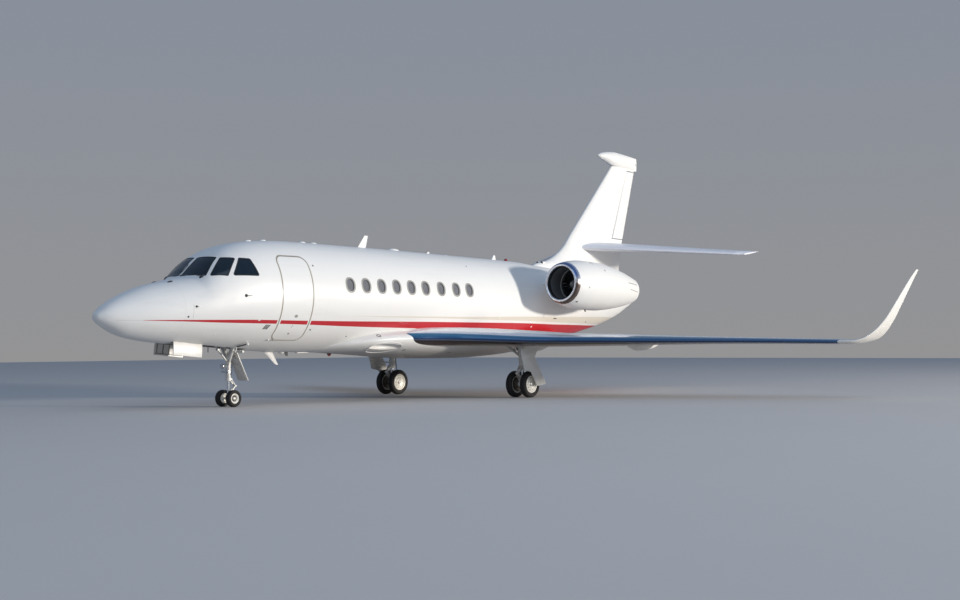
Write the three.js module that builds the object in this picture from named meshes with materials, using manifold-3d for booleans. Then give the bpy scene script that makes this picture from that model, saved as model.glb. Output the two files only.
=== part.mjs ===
// A twin-engined, large-cabin business jet, parked on its landing gear.
// Millimetres, +Z up. The nose points along -Y, the left wing along +X, and the wheels stand on z = 0.
// Stations are distances aft of the nose tip, measured along +Y.
import * as THREE from "three";
import { mergeVertices } from "three/addons/utils/BufferGeometryUtils.js";
import Module from "manifold-3d";

const wasm = await Module();
wasm.setup();

// Driving dimensions
const LENGTH = 20230;
const SPAN = 21380;
const HEIGHT = 7140;
const CABIN_RADIUS = 1250;
const CABIN_AXIS_Z = 2420;
const WHEELBASE = 7530;
const TRACK = 4450;
const SEAT = 0.3; // gap between pieces that touch
const RUN = 8; // gap round pieces that move
const PIN = { radius: 10, reach: 42 }; // hinge pins of the control surfaces

// Fuselage
const WALL = 90;
const TAIL_WALL = 40;
const FUSELAGE_SIDES = 28;
const FLOOR_TOP = 1700;
const FLOOR_THICK = 50;
const RADOME_END = 1620;
const FRONT_END = 5200;
const CENTRE_END = 11200;
const TAIL_END = 19400;
const CABIN_FRONT = 1980;
// columns: station, crown height, keel height, height of the widest point, half width, upper fullness
const FUSELAGE = [
  [0, 1935, 1865, 1900, 35, 2],
  [60, 2020, 1790, 1903, 135, 2],
  [250, 2165, 1675, 1910, 285, 2],
  [600, 2350, 1520, 1930, 455, 2],
  [1100, 2540, 1425, 1980, 650, 2],
  [RADOME_END, 2665, 1370, 2045, 810, 2.1],
  [2060, 2780, 1335, 2110, 925, 2.25],
  [2290, 2990, 1315, 2160, 975, 2.32],
  [2520, 3185, 1300, 2205, 1020, 2.42],
  [2900, 3395, 1270, 2265, 1090, 2.4],
  [3400, 3540, 1235, 2330, 1160, 2.3],
  [3965, 3620, 1205, 2380, 1210, 2.15],
  [4600, 3660, 1180, 2410, 1240, 2.05],
  [FRONT_END, 3670, 1170, CABIN_AXIS_Z, CABIN_RADIUS, 2],
  [8000, 3655, 1170, CABIN_AXIS_Z, CABIN_RADIUS, 2],
  [CENTRE_END, 3615, 1170, CABIN_AXIS_Z, CABIN_RADIUS, 2],
  [12200, 3600, 1180, 2430, 1245, 2],
  [13200, 3580, 1220, 2470, 1200, 2],
  [14200, 3510, 1310, 2550, 1105, 2],
  [15200, 3470, 1460, 2650, 970, 2],
  [16200, 3450, 1655, 2745, 810, 2],
  [17200, 3430, 1850, 2840, 635, 2],
  [18200, 3390, 2130, 2915, 450, 2],
  [19000, 3310, 2460, 2945, 285, 2],
  [TAIL_END, 3220, 2650, 2950, 190, 2],
];

// Cockpit windows: corners as (x, station, z) on the left side, and the way that each one faces
// columns: x, station, z
const WINDSCREEN = [[62, 2053, 2778], [66, 2518, 3184], [517, 2640, 3168], [661, 2243, 2780]];
const SIDE_WINDOWS = [
  [[739, 2305, 2776], [591, 2688, 3161], [774, 2920, 3159], [928, 2614, 2779]],
  [[963, 2737, 2790], [801, 3012, 3162], [878, 3237, 3152], [1087, 3326, 2800]],
];
const GLASS_THICK = 22;

// Cabin windows: the station of each centre
const WINDOW_STATIONS = [5915, 6422, 6930, 7438, 7946, 8454, 9018, 9582, 10090];
const WINDOW_Z = 2675;
const WINDOW_WIDTH = 290;
const WINDOW_HEIGHT = 345;
const WINDOW_INSET = 22;

// Passenger door, an airstair on the left side, hinged along its lower edge
const DOOR = { front: 3900, back: 4760, sill: 1440, head: 3265, corner: 180 };
const DOOR_HINGE = { x: 752, z: 1440, radius: 14, pin: 8, lug: 38, sweep: 201 };
const DOOR_OPEN_DEG = 118;
const DOOR_STEPS = 4;

// Nose wheel bay
const BAY = { front: 1690, back: 3640, half: 275, roof: 1570 };
// Hinge line: (hingeX, front, frontZ) to (hingeX, back, backZ)
const BAY_DOOR = { front: 1700, back: 2440, thick: 22, hingeX: 290, frontZ: 1424, backZ: 1359, openDeg: 86 };

// Wing. Columns: x, leading edge station, trailing edge station, chord line height, thickness
const WING = [
  [1000, 7300, 13120, 1484, 450],
  [1300, 7880, 13170, 1482, 445],
  [1480, 8480, 13200, 1480, 440],
  [1800, 9130, 13240, 1468, 425],
  [2350, 9760, 13310, 1442, 395],
  [3300, 10460, 13480, 1406, 330],
  [6900, 12400, 14320, 1374, 170],
  [9300, 13695, 14880, 1334, 118],
];
const SLAT = { from: 0, to: 0.13, steps: 5 };
const BOX = { from: 0.13, to: 0.71, steps: 5 };
const REAR = { from: 0.71, to: 1, steps: 4 };
const SLAT_ROOT = 1200;
const FLAP_SPAN = [1500, 6860];
const AILERON_SPAN = [6930, 9255];
const AILERON_RIBS = [[6868, 6922], [9278, 9300]];
const AILERON_HINGE = 0.75;
// columns: x, station of the front end, station of the aft end, lowest point
const TRACK_FAIRINGS = [[1680, 11300, 13080, 1120], [4350, 12300, 14060, 1140]];

// Winglet. Columns: x, leading edge station, trailing edge station, height, thickness, cant in degrees
const WINGLET = [
  [9300.3, 13695, 14880, 1334, 118, 0],
  [9560, 13835, 14930, 1342, 108, 8],
  [9770, 14020, 14950, 1410, 90, 28],
  [9960, 14230, 14970, 1580, 74, 45],
  [10115, 14415, 14990, 1810, 60, 58],
  [10345, 14620, 15025, 2270, 44, 67],
  [10590, 14855, 15090, 2800, 26, 70],
  [SPAN / 2, 14990, 15120, 3010, 12, 70],
];

// Wing-to-body fairing. Columns: station, half width, top height, height of the widest point, lowest height
const BELLY = [
  [5700, 420, 1400, 1300, 1168],
  [6300, 900, 1560, 1370, 1135],
  [6900, 1180, 1680, 1430, 1105],
  [7450, 1330, 1740, 1460, 1070],
  [8200, 1400, 1760, 1480, 1020],
  [9200, 1420, 1770, 1490, 985],
  [10800, 1420, 1770, 1490, 980],
  [11900, 1400, 1770, 1500, 1025],
  [12900, 1330, 1780, 1540, 1120],
  [13700, 1120, 1800, 1610, 1250],
  [14400, 700, 1800, 1680, 1430],
];
const SCOOP = { front: 6560, back: 7420, z: 1290, height: 190, depth: 170 };

// Blade antennas on the crown and the belly. Corners: station, height
const BLADE_THICK = 16;
const CROWN_BLADE = [[7328, 3600], [7633, 3600], [7730, 3960], [7610, 3960]];
const BELLY_BLADE = [[4380, 1215], [4637, 1215], [4840, 882], [4740, 898]];

// Engines
const ENGINE = { x: 2100, inlet: 12720, z: 2920, dropDeg: 2.2, sides: 24 };
const LIP_DEPTH = 150;
const FAN = { station: 640, radius: 398, hub: 130, blades: 12, shaft: 60 };
// columns: distance aft of the inlet, radius
const NACELLE_OUTER = [
  [0, 470], [18, 500], [60, 526], [LIP_DEPTH, 552], [420, 608], [900, 648], [1450, 645],
  [2050, 590], [2600, 500], [3050, 400], [3230, 352],
];
const NACELLE_INNER = [
  [3230, 335], [3000, 370], [2600, 420], [1500, 430], [900, 420], [480, 412], [LIP_DEPTH, 415],
  [60, 425], [18, 440], [0, 470],
];
// columns: distance aft of the inlet, radius
const CORE = [[790, 0], [790, 215], [1000, 265], [2200, 250], [2700, 190], [3050, 0]];
const CORE_VANES = 6;
// columns: x, leading edge station, trailing edge station, height, thickness
const PYLON = [[700, 13250, 16500, 2950, 250], [1900, 13450, 15800, 2900, 230]];

// Fin. Columns: height, leading edge station, trailing edge station, thickness
const FIN_LOWER = [
  [3250, 13900, 18600, 380],
  [3560, 14350, 18620, 370],
  [3700, 14950, 18635, 350],
  [3870, 15350, 18660, 330],
  [4150, 15760, 18700, 305],
  [4490, 16079, 18818, 284],
];
const FIN_UPPER = [[4440, 16030, 18802, 285], [6700, 18245, 19525, 165]];
const RUDDER = { bottom: 4518, top: 6606, above: 6632, hinges: [0.8, 0.68] };
// Fairing on top of the fin. Columns: station, half width, top height, lowest height
const FIN_CAP = [
  [17560, 18, 6985, 6950],
  [17640, 70, 7030, 6895],
  [17800, 115, 7075, 6855],
  [18050, 150, 7115, 6785],
  [18400, 160, HEIGHT, 6700],
  [18800, 135, 7122, 6665],
  [19200, 85, 7098, 6665],
  [19500, 40, 7072, 6660],
  [19640, 14, 7060, 6668],
];

// Tailplane. Columns: x, leading and trailing edge stations, leading and trailing edge heights, thickness
const TAILPLANE = [
  [0, 16360, 18830, 4150, 4350, 240],
  [140, 16460, 18880, 4140, 4340, 235],
  [3700, 19130, 20090, 3905, 4040, 95],
  [3870, 19330, LENGTH, 3900, 4025, 40],
];
const ELEVATOR_SPAN = [300, 3650];
const ELEVATOR_ENDS = [274, 3674];
const ELEVATOR_HINGES = [0.7513, 0.72];

// Landing gear
const NOSE_LAMPS = { x: [400, 478], z: 1190, radius: 36, arm: 13 };
const NOSE_GEAR = { station: 3400, tyreRadius: 183, tyreWidth: 140, rimRadius: 98, spacing: 350, topZ: 1300 };
const MAIN_GEAR = {
  station: NOSE_GEAR.station + WHEELBASE,
  tyreRadius: 330,
  tyreWidth: 168,
  rimRadius: 190,
  spacing: 440,
  topZ: 1300,
};
const LEG_DOOR_X = 2585;
// columns: station, z
const LEG_DOOR = [
  [10370, 1215], [11060, 1215], [10930, 1000], [11400, 330],
  [11030, 285], [10790, 640], [10520, 690], [10430, 960],
];
const AXLE_RADIUS = 38;
const NOSE_AXLE_RADIUS = 20;

function paint(color, roughness, metalness) {
  return new THREE.MeshStandardMaterial({ color, roughness, metalness });
}
const MATERIALS = {
  white: paint(0xf1efea, 0.28, 0.0),
  polished: paint(0x4a6f9f, 0.18, 1.0),
  chrome: paint(0xd8dade, 0.1, 1.0),
  steel: paint(0xb9bcc0, 0.35, 1.0),
  gear: paint(0xe2e1dc, 0.4, 0.2),
  dark: paint(0x2b2b2e, 0.6, 0.2),
  glass: paint(0x1c2a38, 0.08, 0.0),
  tyre: paint(0x1a1918, 0.85, 0.0),
  rim: paint(0xcfcac0, 0.4, 0.6),
  cabin: paint(0x6e675e, 0.8, 0.0),
};

const jet = new THREE.Group();
const airframe = new THREE.Group(); // holds pieces placed by station, so its origin is at the nose
airframe.position.y = -LENGTH / 2;
jet.add(airframe);

const deg = THREE.MathUtils.degToRad;
const lerp = THREE.MathUtils.lerp;
const V = (x, y, z) => new THREE.Vector3(x, y, z);

// Solids from geometries, and back

function solidOf(geometry) {
  const plain = new THREE.BufferGeometry().setAttribute("position", geometry.getAttribute("position"));
  if (geometry.index) plain.setIndex(geometry.index);
  const merged = mergeVertices(plain, 1e-3);
  const mesh = new wasm.Mesh({
    numProp: 3,
    vertProperties: merged.attributes.position.array,
    triVerts: new Uint32Array(merged.index.array),
  });
  return new wasm.Manifold(mesh);
}

function geometryOf(solid) {
  const { numProp, numVert, vertProperties, triVerts } = solid.getMesh();
  const points = new Float32Array(numVert * 3);
  for (let i = 0; i < numVert; i++) points.set(vertProperties.subarray(i * numProp, i * numProp + 3), i * 3);
  const geometry = new THREE.BufferGeometry();
  geometry.setAttribute("position", new THREE.BufferAttribute(points, 3));
  geometry.setIndex(new THREE.BufferAttribute(triVerts, 1));
  return geometry;
}

function mirrored(geometry) {
  const other = geometry.clone().scale(-1, 1, 1);
  const index = other.index.array;
  for (let i = 0; i < index.length; i += 3) [index[i + 1], index[i + 2]] = [index[i + 2], index[i + 1]];
  return other;
}

function add(name, solid, material, parent = airframe) {
  const mesh = new THREE.Mesh(geometryOf(solid), MATERIALS[material]);
  mesh.name = name;
  parent.add(mesh);
  return mesh;
}

// A left piece and its mirror image on the right
function addPair(name, solid, material) {
  const left = add(name + "_left", solid, material);
  const right = new THREE.Mesh(mirrored(left.geometry), left.material);
  right.name = name + "_right";
  airframe.add(right);
}

const joined = (...solids) => solids.reduce((a, b) => a.add(b));
const largest = (solid) => solid.decompose().sort((a, b) => b.volume() - a.volume())[0];
const without = (solid, ...cuts) => cuts.reduce((a, b) => a.subtract(b), solid);

// A closed solid through rings of points, each ring with the same number of points
function loft(rings) {
  const count = rings[0].length;
  const points = rings.flat();
  const faces = [];
  // Split along the shorter diagonal, so that a mirrored piece has mirrored facets
  const quad = (a, b, c, d) => {
    const across = points[b].distanceTo(points[d]) - points[a].distanceTo(points[c]);
    faces.push(...(across < -1e-6 ? [a, b, d, b, c, d] : [a, b, c, a, c, d]));
  };
  for (let r = 0; r + 1 < rings.length; r++)
    for (let i = 0; i < count; i++) {
      const j = (i + 1) % count;
      quad(r * count + i, r * count + j, (r + 1) * count + j, (r + 1) * count + i);
    }
  for (const [ring, flip] of [[0, true], [rings.length - 1, false]]) {
    const centre = points.length;
    points.push(rings[ring].reduce((sum, p) => sum.add(p), V(0, 0, 0)).divideScalar(count));
    for (let i = 0; i < count; i++) {
      const a = ring * count + i;
      const b = ring * count + ((i + 1) % count);
      faces.push(centre, flip ? b : a, flip ? a : b);
    }
  }
  let volume = 0;
  for (let i = 0; i < faces.length; i += 3)
    volume += points[faces[i]].dot(V(0, 0, 0).crossVectors(points[faces[i + 1]], points[faces[i + 2]]));
  if (volume < 0) faces.reverse();
  const geometry = new THREE.BufferGeometry().setFromPoints(points);
  geometry.setIndex(faces);
  return solidOf(geometry);
}

function box(x0, x1, y0, y1, z0, z1) {
  const geometry = new THREE.BoxGeometry(x1 - x0, y1 - y0, z1 - z0);
  return solidOf(geometry.translate((x0 + x1) / 2, (y0 + y1) / 2, (z0 + z1) / 2));
}

// A round bar between two points
function bar(from, to, radius, endRadius = radius, sides = 8, turn = 0) {
  const along = to.clone().sub(from);
  const geometry = new THREE.CylinderGeometry(endRadius, radius, along.length(), sides, 1, false, turn);
  geometry.applyQuaternion(new THREE.Quaternion().setFromUnitVectors(V(0, 1, 0), along.clone().normalize()));
  const middle = from.clone().lerp(to, 0.5);
  return solidOf(geometry.translate(middle.x, middle.y, middle.z));
}

// The hole for a bar of the same sides that turns in it: its flats keep clear of the bar's corners
function bore(from, to, radius, sides, play = 0.3) {
  const corner = (radius + play) / Math.cos(Math.PI / sides);
  return bar(from, to, corner, corner, sides, Math.PI / sides);
}

// A body of revolution about the Y axis from [distance, radius] points
function turned(profile, sides) {
  const geometry = new THREE.LatheGeometry(profile.map(([y, r]) => new THREE.Vector2(r, y)), sides);
  const solid = solidOf(geometry);
  if (solid.volume() > 0) return solid;
  return turned([...profile].reverse(), sides);
}

// A cut for the left side, and the same for the right
function bothSides(cut) {
  return [cut, solidOf(mirrored(geometryOf(cut)))];
}

// A flat outline in the station and height plane, given thickness along X
function plate(outline, x0, x1) {
  const shape = new THREE.Shape(outline.map(([y, z]) => new THREE.Vector2(y, z)));
  const geometry = new THREE.ExtrudeGeometry(shape, { depth: x1 - x0, bevelEnabled: false });
  geometry.rotateX(Math.PI / 2).rotateZ(Math.PI / 2).translate(x0, 0, 0);
  return solidOf(geometry);
}

// Values of a table's row at a position in its first column, straight between rows
function rowAt(table, at) {
  const next = table.findIndex((row) => row[0] >= at);
  if (next <= 0) return table[next < 0 ? table.length - 1 : 0];
  const [before, after] = [table[next - 1], table[next]];
  const share = (at - before[0]) / (after[0] - before[0]);
  return before.map((value, i) => lerp(value, after[i], share));
}

const stationsBetween = (table, from, to) =>
  [from, ...table.map((row) => row[0]).filter((at) => at > from + 1 && at < to - 1), to];

// Fuselage

// Ring of an egg-shaped section, whose halves meet at the widest height. A fullness of 2 makes an ellipse
function eggRing(y, crown, keel, waist, half, sides = FUSELAGE_SIDES, fullness = 2) {
  return Array.from({ length: sides }, (_, i) => {
    const angle = (2 * Math.PI * i) / sides;
    const power = Math.sin(angle) > 1e-9 ? 2 / fullness : 1;
    const out = Math.sign(Math.cos(angle)) * Math.abs(Math.cos(angle)) ** power;
    const rise = Math.sign(Math.sin(angle)) * Math.abs(Math.sin(angle)) ** power;
    return V(half * out, y, waist + rise * (rise > 0 ? crown - waist : waist - keel));
  });
}

function fuselageBody(from, to, inset = 0, sides = FUSELAGE_SIDES) {
  const rings = stationsBetween(FUSELAGE, from, to).map((station) => {
    const [, crown, keel, waist, half, fullness] = rowAt(FUSELAGE, station);
    return eggRing(station, crown - inset, keel + inset, waist, half - inset, sides, fullness);
  });
  return loft(rings);
}

// A solid across the wall where a window is: its corners pushed out and in along the window's own normal
function windowPrism(corners, shrink, reach) {
  const points = corners.map(([x, y, z]) => V(x, y, z));
  const centre = points.reduce((sum, p) => sum.add(p), V(0, 0, 0)).divideScalar(points.length);
  const diagonals = [points[2].clone().sub(points[0]), points[3].clone().sub(points[1])];
  const normal = V(0, 0, 0).crossVectors(...diagonals).normalize();
  const drawn = points.map((p) => p.clone().add(centre.clone().sub(p).setLength(shrink)));
  return loft([-reach, reach].map((d) => drawn.map((p) => p.clone().addScaledVector(normal, d))));
}

// The outline of the passenger door, grown by a margin, with its lower corners square
function doorOutline(grow) {
  const { front, back, sill, head, corner } = DOOR;
  const [y0, y1, z0, z1] = [front - grow, back + grow, sill - grow, head + grow];
  const arc = (y, from) => [0, 1, 2, 3].map((i) => {
    const angle = deg(from + 30 * i);
    return [y + corner * Math.cos(angle), z1 - corner + corner * Math.sin(angle)];
  });
  return [[y0, z0], [y1, z0], ...arc(y1 - corner, 0), ...arc(y0 + corner, 90)];
}

// What rounds the door's two lower corners: rings about the hinge line, so that the swing is clear
function doorCorners(grow) {
  const { front, back, corner } = DOOR;
  const arc = [0, 1, 2, 3, 4].map((i) => {
    const angle = deg(22.5 * i);
    return [corner - (corner + grow) * Math.sin(angle), corner - (corner + grow) * Math.cos(angle)];
  });
  const profile = [[corner, 0], ...arc.filter(([, r]) => r > 0.01), [-60, corner], [-60, 0]];
  const ring = (end, way) => turned(profile.map(([y, r]) => [end + way * y, r]), 24);
  return [ring(front, 1), ring(back, -1)].map((solid) => solid.translate(DOOR_HINGE.x, 0, DOOR_HINGE.z));
}

// The room that the door's lower edge sweeps as it turns about the hinge line
function doorSweep() {
  const { x, z, sweep } = DOOR_HINGE;
  return bar(V(x, DOOR.front, z), V(x, DOOR.back, z), sweep, sweep, 24);
}

function ovalOutline(station, grow) {
  const sides = 10;
  return Array.from({ length: sides }, (_, i) => {
    const angle = (2 * Math.PI * i) / sides;
    const along = (WINDOW_WIDTH / 2 + grow) * Math.cos(angle);
    return [station + along, WINDOW_Z + (WINDOW_HEIGHT / 2 + grow) * Math.sin(angle)];
  });
}

const WIDE = 2000; // further out than any part of the fuselage
const aboveFloor = box(-WIDE, WIDE, 0, LENGTH, FLOOR_TOP - FLOOR_THICK, 4000);
const cabinSpace = fuselageBody(CABIN_FRONT, CENTRE_END + 10, WALL).intersect(aboveFloor);
const fuselageHull = fuselageBody(0, TAIL_END, -SEAT);
const middleHull = fuselageBody(FRONT_END, 15200, -SEAT);

const blade = (outline) => plate(outline, -BLADE_THICK / 2, BLADE_THICK / 2);

function buildFuselage() {
  add("radome", fuselageBody(0, RADOME_END - SEAT), "white");

  const panes = [WINDSCREEN, ...SIDE_WINDOWS];
  const mirrorRow = (corners) => corners.map(([x, y, z]) => [-x, y, z]);
  const openings = [...panes, ...panes.map(mirrorRow)].map((corners) => windowPrism(corners, 0, 260));
  const belowFloor = box(0, WIDE, 0, LENGTH, 0, FLOOR_TOP - FLOOR_THICK);
  const doorWall = plate(doorOutline(0), 0, WIDE).subtract(fuselageBody(3500, 5000, WALL + RUN));
  const passage = plate(doorOutline(0), DOOR_HINGE.x - 60, WIDE).subtract(belowFloor);
  const swept = doorSweep().intersect(box(0, WIDE, 0, LENGTH, DOOR_HINGE.z, 4000));
  const doorway = without(joined(passage, doorWall, swept), ...doorCorners(0));
  const bay = box(-BAY.half, BAY.half, BAY.front, BAY.back, 0, BAY.roof);
  const slot = bayHinge(-RUN, 22, 10);
  const [slotFront, slotBack] = [BAY_DOOR.front - RUN, BAY_DOOR.back + RUN];
  const upTo = [[slotBack, BAY_DOOR.backZ], [slotFront, BAY_DOOR.frontZ]];
  const belowHinge = [[slotFront, 1000], [slotBack, 1000], ...upTo];
  const slotRoom = plate(belowHinge, BAY.half - 1, BAY_DOOR.hingeX + 22);
  const bayCuts = [slot, slotRoom, bayHinge(-24, 6, 10, bore)].flatMap(bothSides);
  const { x, z, radius, pin, lug } = DOOR_HINGE;
  const lugs = [DOOR.front - 3, DOOR.back + 3 + lug].map((y) =>
    bar(V(x, y - lug, z), V(x, y, z), radius).add(box(x - 60, x, y - lug, y, z - 10, z + 10)));
  const groove = bar(V(x, DOOR.front, z), V(x, DOOR.back, z), radius + RUN, radius + RUN, 10);
  const pinHole = bore(V(x, DOOR.front - 33, z), V(x, DOOR.back + 33, z), pin, 10);
  const body = fuselageBody(RADOME_END, FRONT_END - SEAT);
  const front = without(body, cabinSpace, ...openings, doorway, groove);
  const frontParts = joined(front, ...lugs, blade(BELLY_BLADE));
  add("fuselage_front", without(frontParts, pinHole, bay, ...bayCuts), "white");

  const skin = cockpitShell(SEAT, GLASS_THICK);
  addPair("windscreen", skin.intersect(windowPrism(WINDSCREEN, 1, 200)), "glass");
  const sidePanes = SIDE_WINDOWS.map((corners) => skin.intersect(windowPrism(corners, 1, 200)));
  addPair("cockpit_side_windows", sideGlass(sidePanes), "glass");

  const windows = [-1, 1].flatMap((side) => WINDOW_STATIONS.map((station) =>
    plate(ovalOutline(station, 0), Math.min(side * 900, side * WIDE), Math.max(side * 900, side * WIDE))));
  const centre = fuselageBody(FRONT_END, CENTRE_END - SEAT);
  const centreBody = without(centre, cabinSpace, ...windows);
  add("fuselage_centre", joined(centreBody, blade(CROWN_BLADE)), "white");
  addPair("cabin_windows", cabinWindows(), "glass");

  const tailSpace = fuselageBody(CENTRE_END + WALL, TAIL_END - 400, TAIL_WALL, 14);
  const exhaust = bar(V(0, TAIL_END - 450, 2945), V(0, TAIL_END + 10, 2950), 110, 110, 12);
  add("fuselage_rear", without(fuselageBody(CENTRE_END, TAIL_END), tailSpace, exhaust), "white");
}

// A bar, or the hole for one, on the left bay door's hinge line, shortened or lengthened at both ends
function bayHinge(inset, radius, sides, shape = (a, b, r, n) => bar(a, b, r, r, n)) {
  const { front, back, hingeX, frontZ, backZ } = BAY_DOOR;
  const [a, b] = [V(hingeX, front, frontZ), V(hingeX, back, backZ)];
  const along = b.clone().sub(a).normalize();
  return shape(a.addScaledVector(along, inset), b.addScaledVector(along, -inset), radius, sides);
}

// A layer of the cockpit's wall between two depths under the skin
function cockpitShell(outer, inner) {
  return fuselageBody(CABIN_FRONT, 3600, outer).subtract(fuselageBody(CABIN_FRONT - 5, 3610, inner));
}

// The two side panes of the cockpit, carried by stubs to one strip inside the wall
function sideGlass(panes) {
  const strip = cockpitShell(WALL + SEAT, WALL + 14).intersect(box(200, WIDE, 2300, 3330, 2900, 3030));
  const wall = cockpitShell(GLASS_THICK - 2, WALL + 10);
  const stubs = SIDE_WINDOWS.map((corners) => {
    const middle = corners.map((c) => c.map((value, i) => lerp(value, average(corners, i), 0.75)));
    return wall.intersect(windowPrism(middle, 0, 200));
  });
  return joined(...panes, ...stubs, strip);
}

const average = (points, axis) => points.reduce((sum, p) => sum + p[axis], 0) / points.length;

// The nine panes of one side, each set in its opening and carried by the lining strip behind the wall
function cabinWindows() {
  const from = WINDOW_STATIONS[0] - 260;
  const to = WINDOW_STATIONS.at(-1) + 260;
  const tube = (longer, depth) => fuselageBody(FRONT_END - longer, CENTRE_END + longer, depth);
  const shell = (outer, inner) => tube(10, outer).subtract(tube(15, inner));
  const band = box(500, WIDE, from, to, WINDOW_Z - 230, WINDOW_Z + 240);
  const strip = shell(WALL + SEAT, WALL + 14).intersect(band);
  const depth = shell(WINDOW_INSET, WALL + 4);
  const panes = WINDOW_STATIONS.map((station) => depth.intersect(plate(ovalOutline(station, -1), 900, WIDE)));
  return joined(strip, ...panes);
}

// Floor of the cockpit and cabin, with the two pilots' seats and the pedestal on it
function buildCockpit() {
  const room = fuselageBody(CABIN_FRONT + 60, CENTRE_END - 5, WALL + SEAT + 1);
  const floorUnder = FLOOR_TOP - FLOOR_THICK + SEAT;
  const floor = room.intersect(box(-WIDE, WIDE, 2300, CENTRE_END - 5, floorUnder, FLOOR_TOP));
  const seats = [-1, 1].map((side) => {
    const x = side * 430;
    const z = FLOOR_TOP;
    const back = [[3380, z + 300], [3500, z + 300], [3600, z + 1010], [3500, z + 1010]];
    const headrest = [[3500, z + 960], [3590, z + 960], [3620, z + 1190], [3530, z + 1190]];
    const stalk = box(x - 60, x + 60, 3080, 3300, z - 10, z + 250);
    const cushion = box(x - 230, x + 230, 2980, 3430, z + 240, z + 370);
    return joined(stalk, cushion, plate(back, x - 220, x + 220), plate(headrest, x - 130, x + 130));
  });
  const pedestal = box(-120, 120, 2700, 3300, FLOOR_TOP - 10, FLOOR_TOP + 420);
  const relief = plate(doorOutline(12), 300, WIDE).subtract(fuselageBody(3500, 5190, WALL + 12));
  add("cabin_floor", joined(floor, pedestal, ...seats).subtract(relief), "cabin");

  const foot = FLOOR_TOP + SEAT;
  const profile = [
    [2200, 2600], [2700, 2765], [2750, 2740], [2710, 2300], [2680, foot],
    [2640, foot], [2660, 2300], [2670, 2680], [2210, 2560],
  ];
  const panel = plate(profile, -800, 800).subtract(box(-125, 125, 2600, 2800, foot - 5, FLOOR_TOP + 425));
  add("instrument_panel", panel.intersect(room), "dark");

  const bulkhead = room.intersect(box(-WIDE, WIDE, 3700, 3740, FLOOR_TOP + SEAT, 4000))
    .subtract(box(-300, 300, 3600, 3800, FLOOR_TOP - 5, 3420));
  add("cockpit_bulkhead", bulkhead, "cabin");
}

// The airstair: a piece of the cabin wall with treads on its inner side
function buildPassengerDoor() {
  const outer = without(plate(doorOutline(-RUN), 0, WIDE), ...doorCorners(-RUN));
  const wall = fuselageBody(3500, 5100, 0).subtract(fuselageBody(3490, 5110, WALL));
  const panel = wall.intersect(outer).intersect(box(300, WIDE, 0, LENGTH, 0, 4000));
  const [y0, y1] = [DOOR.front + 130, DOOR.back - 130];
  const treads = Array.from({ length: DOOR_STEPS }, (_, i) => {
    const z = lerp(1960, 2900, i / (DOOR_STEPS - 1));
    const [, , , waist, half] = rowAt(FUSELAGE, 4400);
    const skin = half * Math.sqrt(1 - ((z - waist) / 1250) ** 2) - WALL;
    const geometry = new THREE.BoxGeometry(300, y1 - y0, 30).rotateY(deg(DOOR_OPEN_DEG - 90) - Math.PI / 2);
    geometry.translate(skin - 40, (y0 + y1) / 2, z);
    return solidOf(geometry);
  });
  const inside = fuselageBody(3490, 5110, WALL / 2);
  const steps = treads.map((tread) => tread.intersect(inside));
  const { x, z, radius, pin } = DOOR_HINGE;
  const tube = bar(V(x, DOOR.front + RUN, z), V(x, DOOR.back - RUN, z), radius, radius, 12);
  const web = box(x - 60, x, DOOR.front + DOOR.corner, DOOR.back - DOOR.corner, z + RUN, z + RUN + 6);
  const pins = bar(V(x, DOOR.front - 30, z), V(x, DOOR.back + 30, z), pin, pin, 10);
  add("passenger_door", joined(panel, web, tube, pins, ...steps), "white");
}

// Wing

// Half thickness of an aerofoil of thickness 1 at a share of its chord
function aerofoil(share) {
  const s = Math.max(share, 0);
  return 5 * (0.2969 * Math.sqrt(s) - 0.126 * s - 0.3516 * s ** 2 + 0.2843 * s ** 3 - 0.1036 * s ** 4);
}

// Points of an aerofoil between two shares of its chord, upper side first. at(share, offset) places a point
function aerofoilRing(at, thickness, from, to, steps = 7, grow = 0) {
  const shares = Array.from({ length: steps }, (_, i) => {
    const t = i / (steps - 1);
    return lerp(from, to, from < 0.01 ? t * t : t);
  });
  const half = (share) => aerofoil(share) * thickness + 0.6 + grow;
  const upper = shares.map((s) => at(s, half(s)));
  const lower = shares.map((s) => at(s, -half(s))).reverse();
  return [...upper, ...lower];
}

function wingPlace([x, le, te, z]) {
  const camber = (share) => (te - le) * 0.008 * Math.sin(Math.PI * share);
  return (share, offset) => V(x, lerp(le, te, share), z + offset + camber(share));
}

function wingSlice({ from, to, steps }, x0 = WING[0][0], x1 = WING.at(-1)[0], shift = 0, grow = 0) {
  const rings = stationsBetween(WING, x0, x1).map((x) => {
    const row = rowAt(WING, x);
    const start = from + shift / (row[2] - row[1]);
    return aerofoilRing(wingPlace(row), row[4], start, to, steps, grow);
  });
  return loft(rings);
}

// The whole section of the wing out to a given x, grown by the gap that its neighbours keep
function wingSpace(x1) {
  const parts = [BOX, REAR].map((part) => wingSlice(part, WING[0][0], x1, -SEAT, SEAT));
  const nose = wingSlice(SLAT, SLAT_ROOT, x1, -2 * SEAT, SEAT);
  return joined(nose, ...parts);
}

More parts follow.
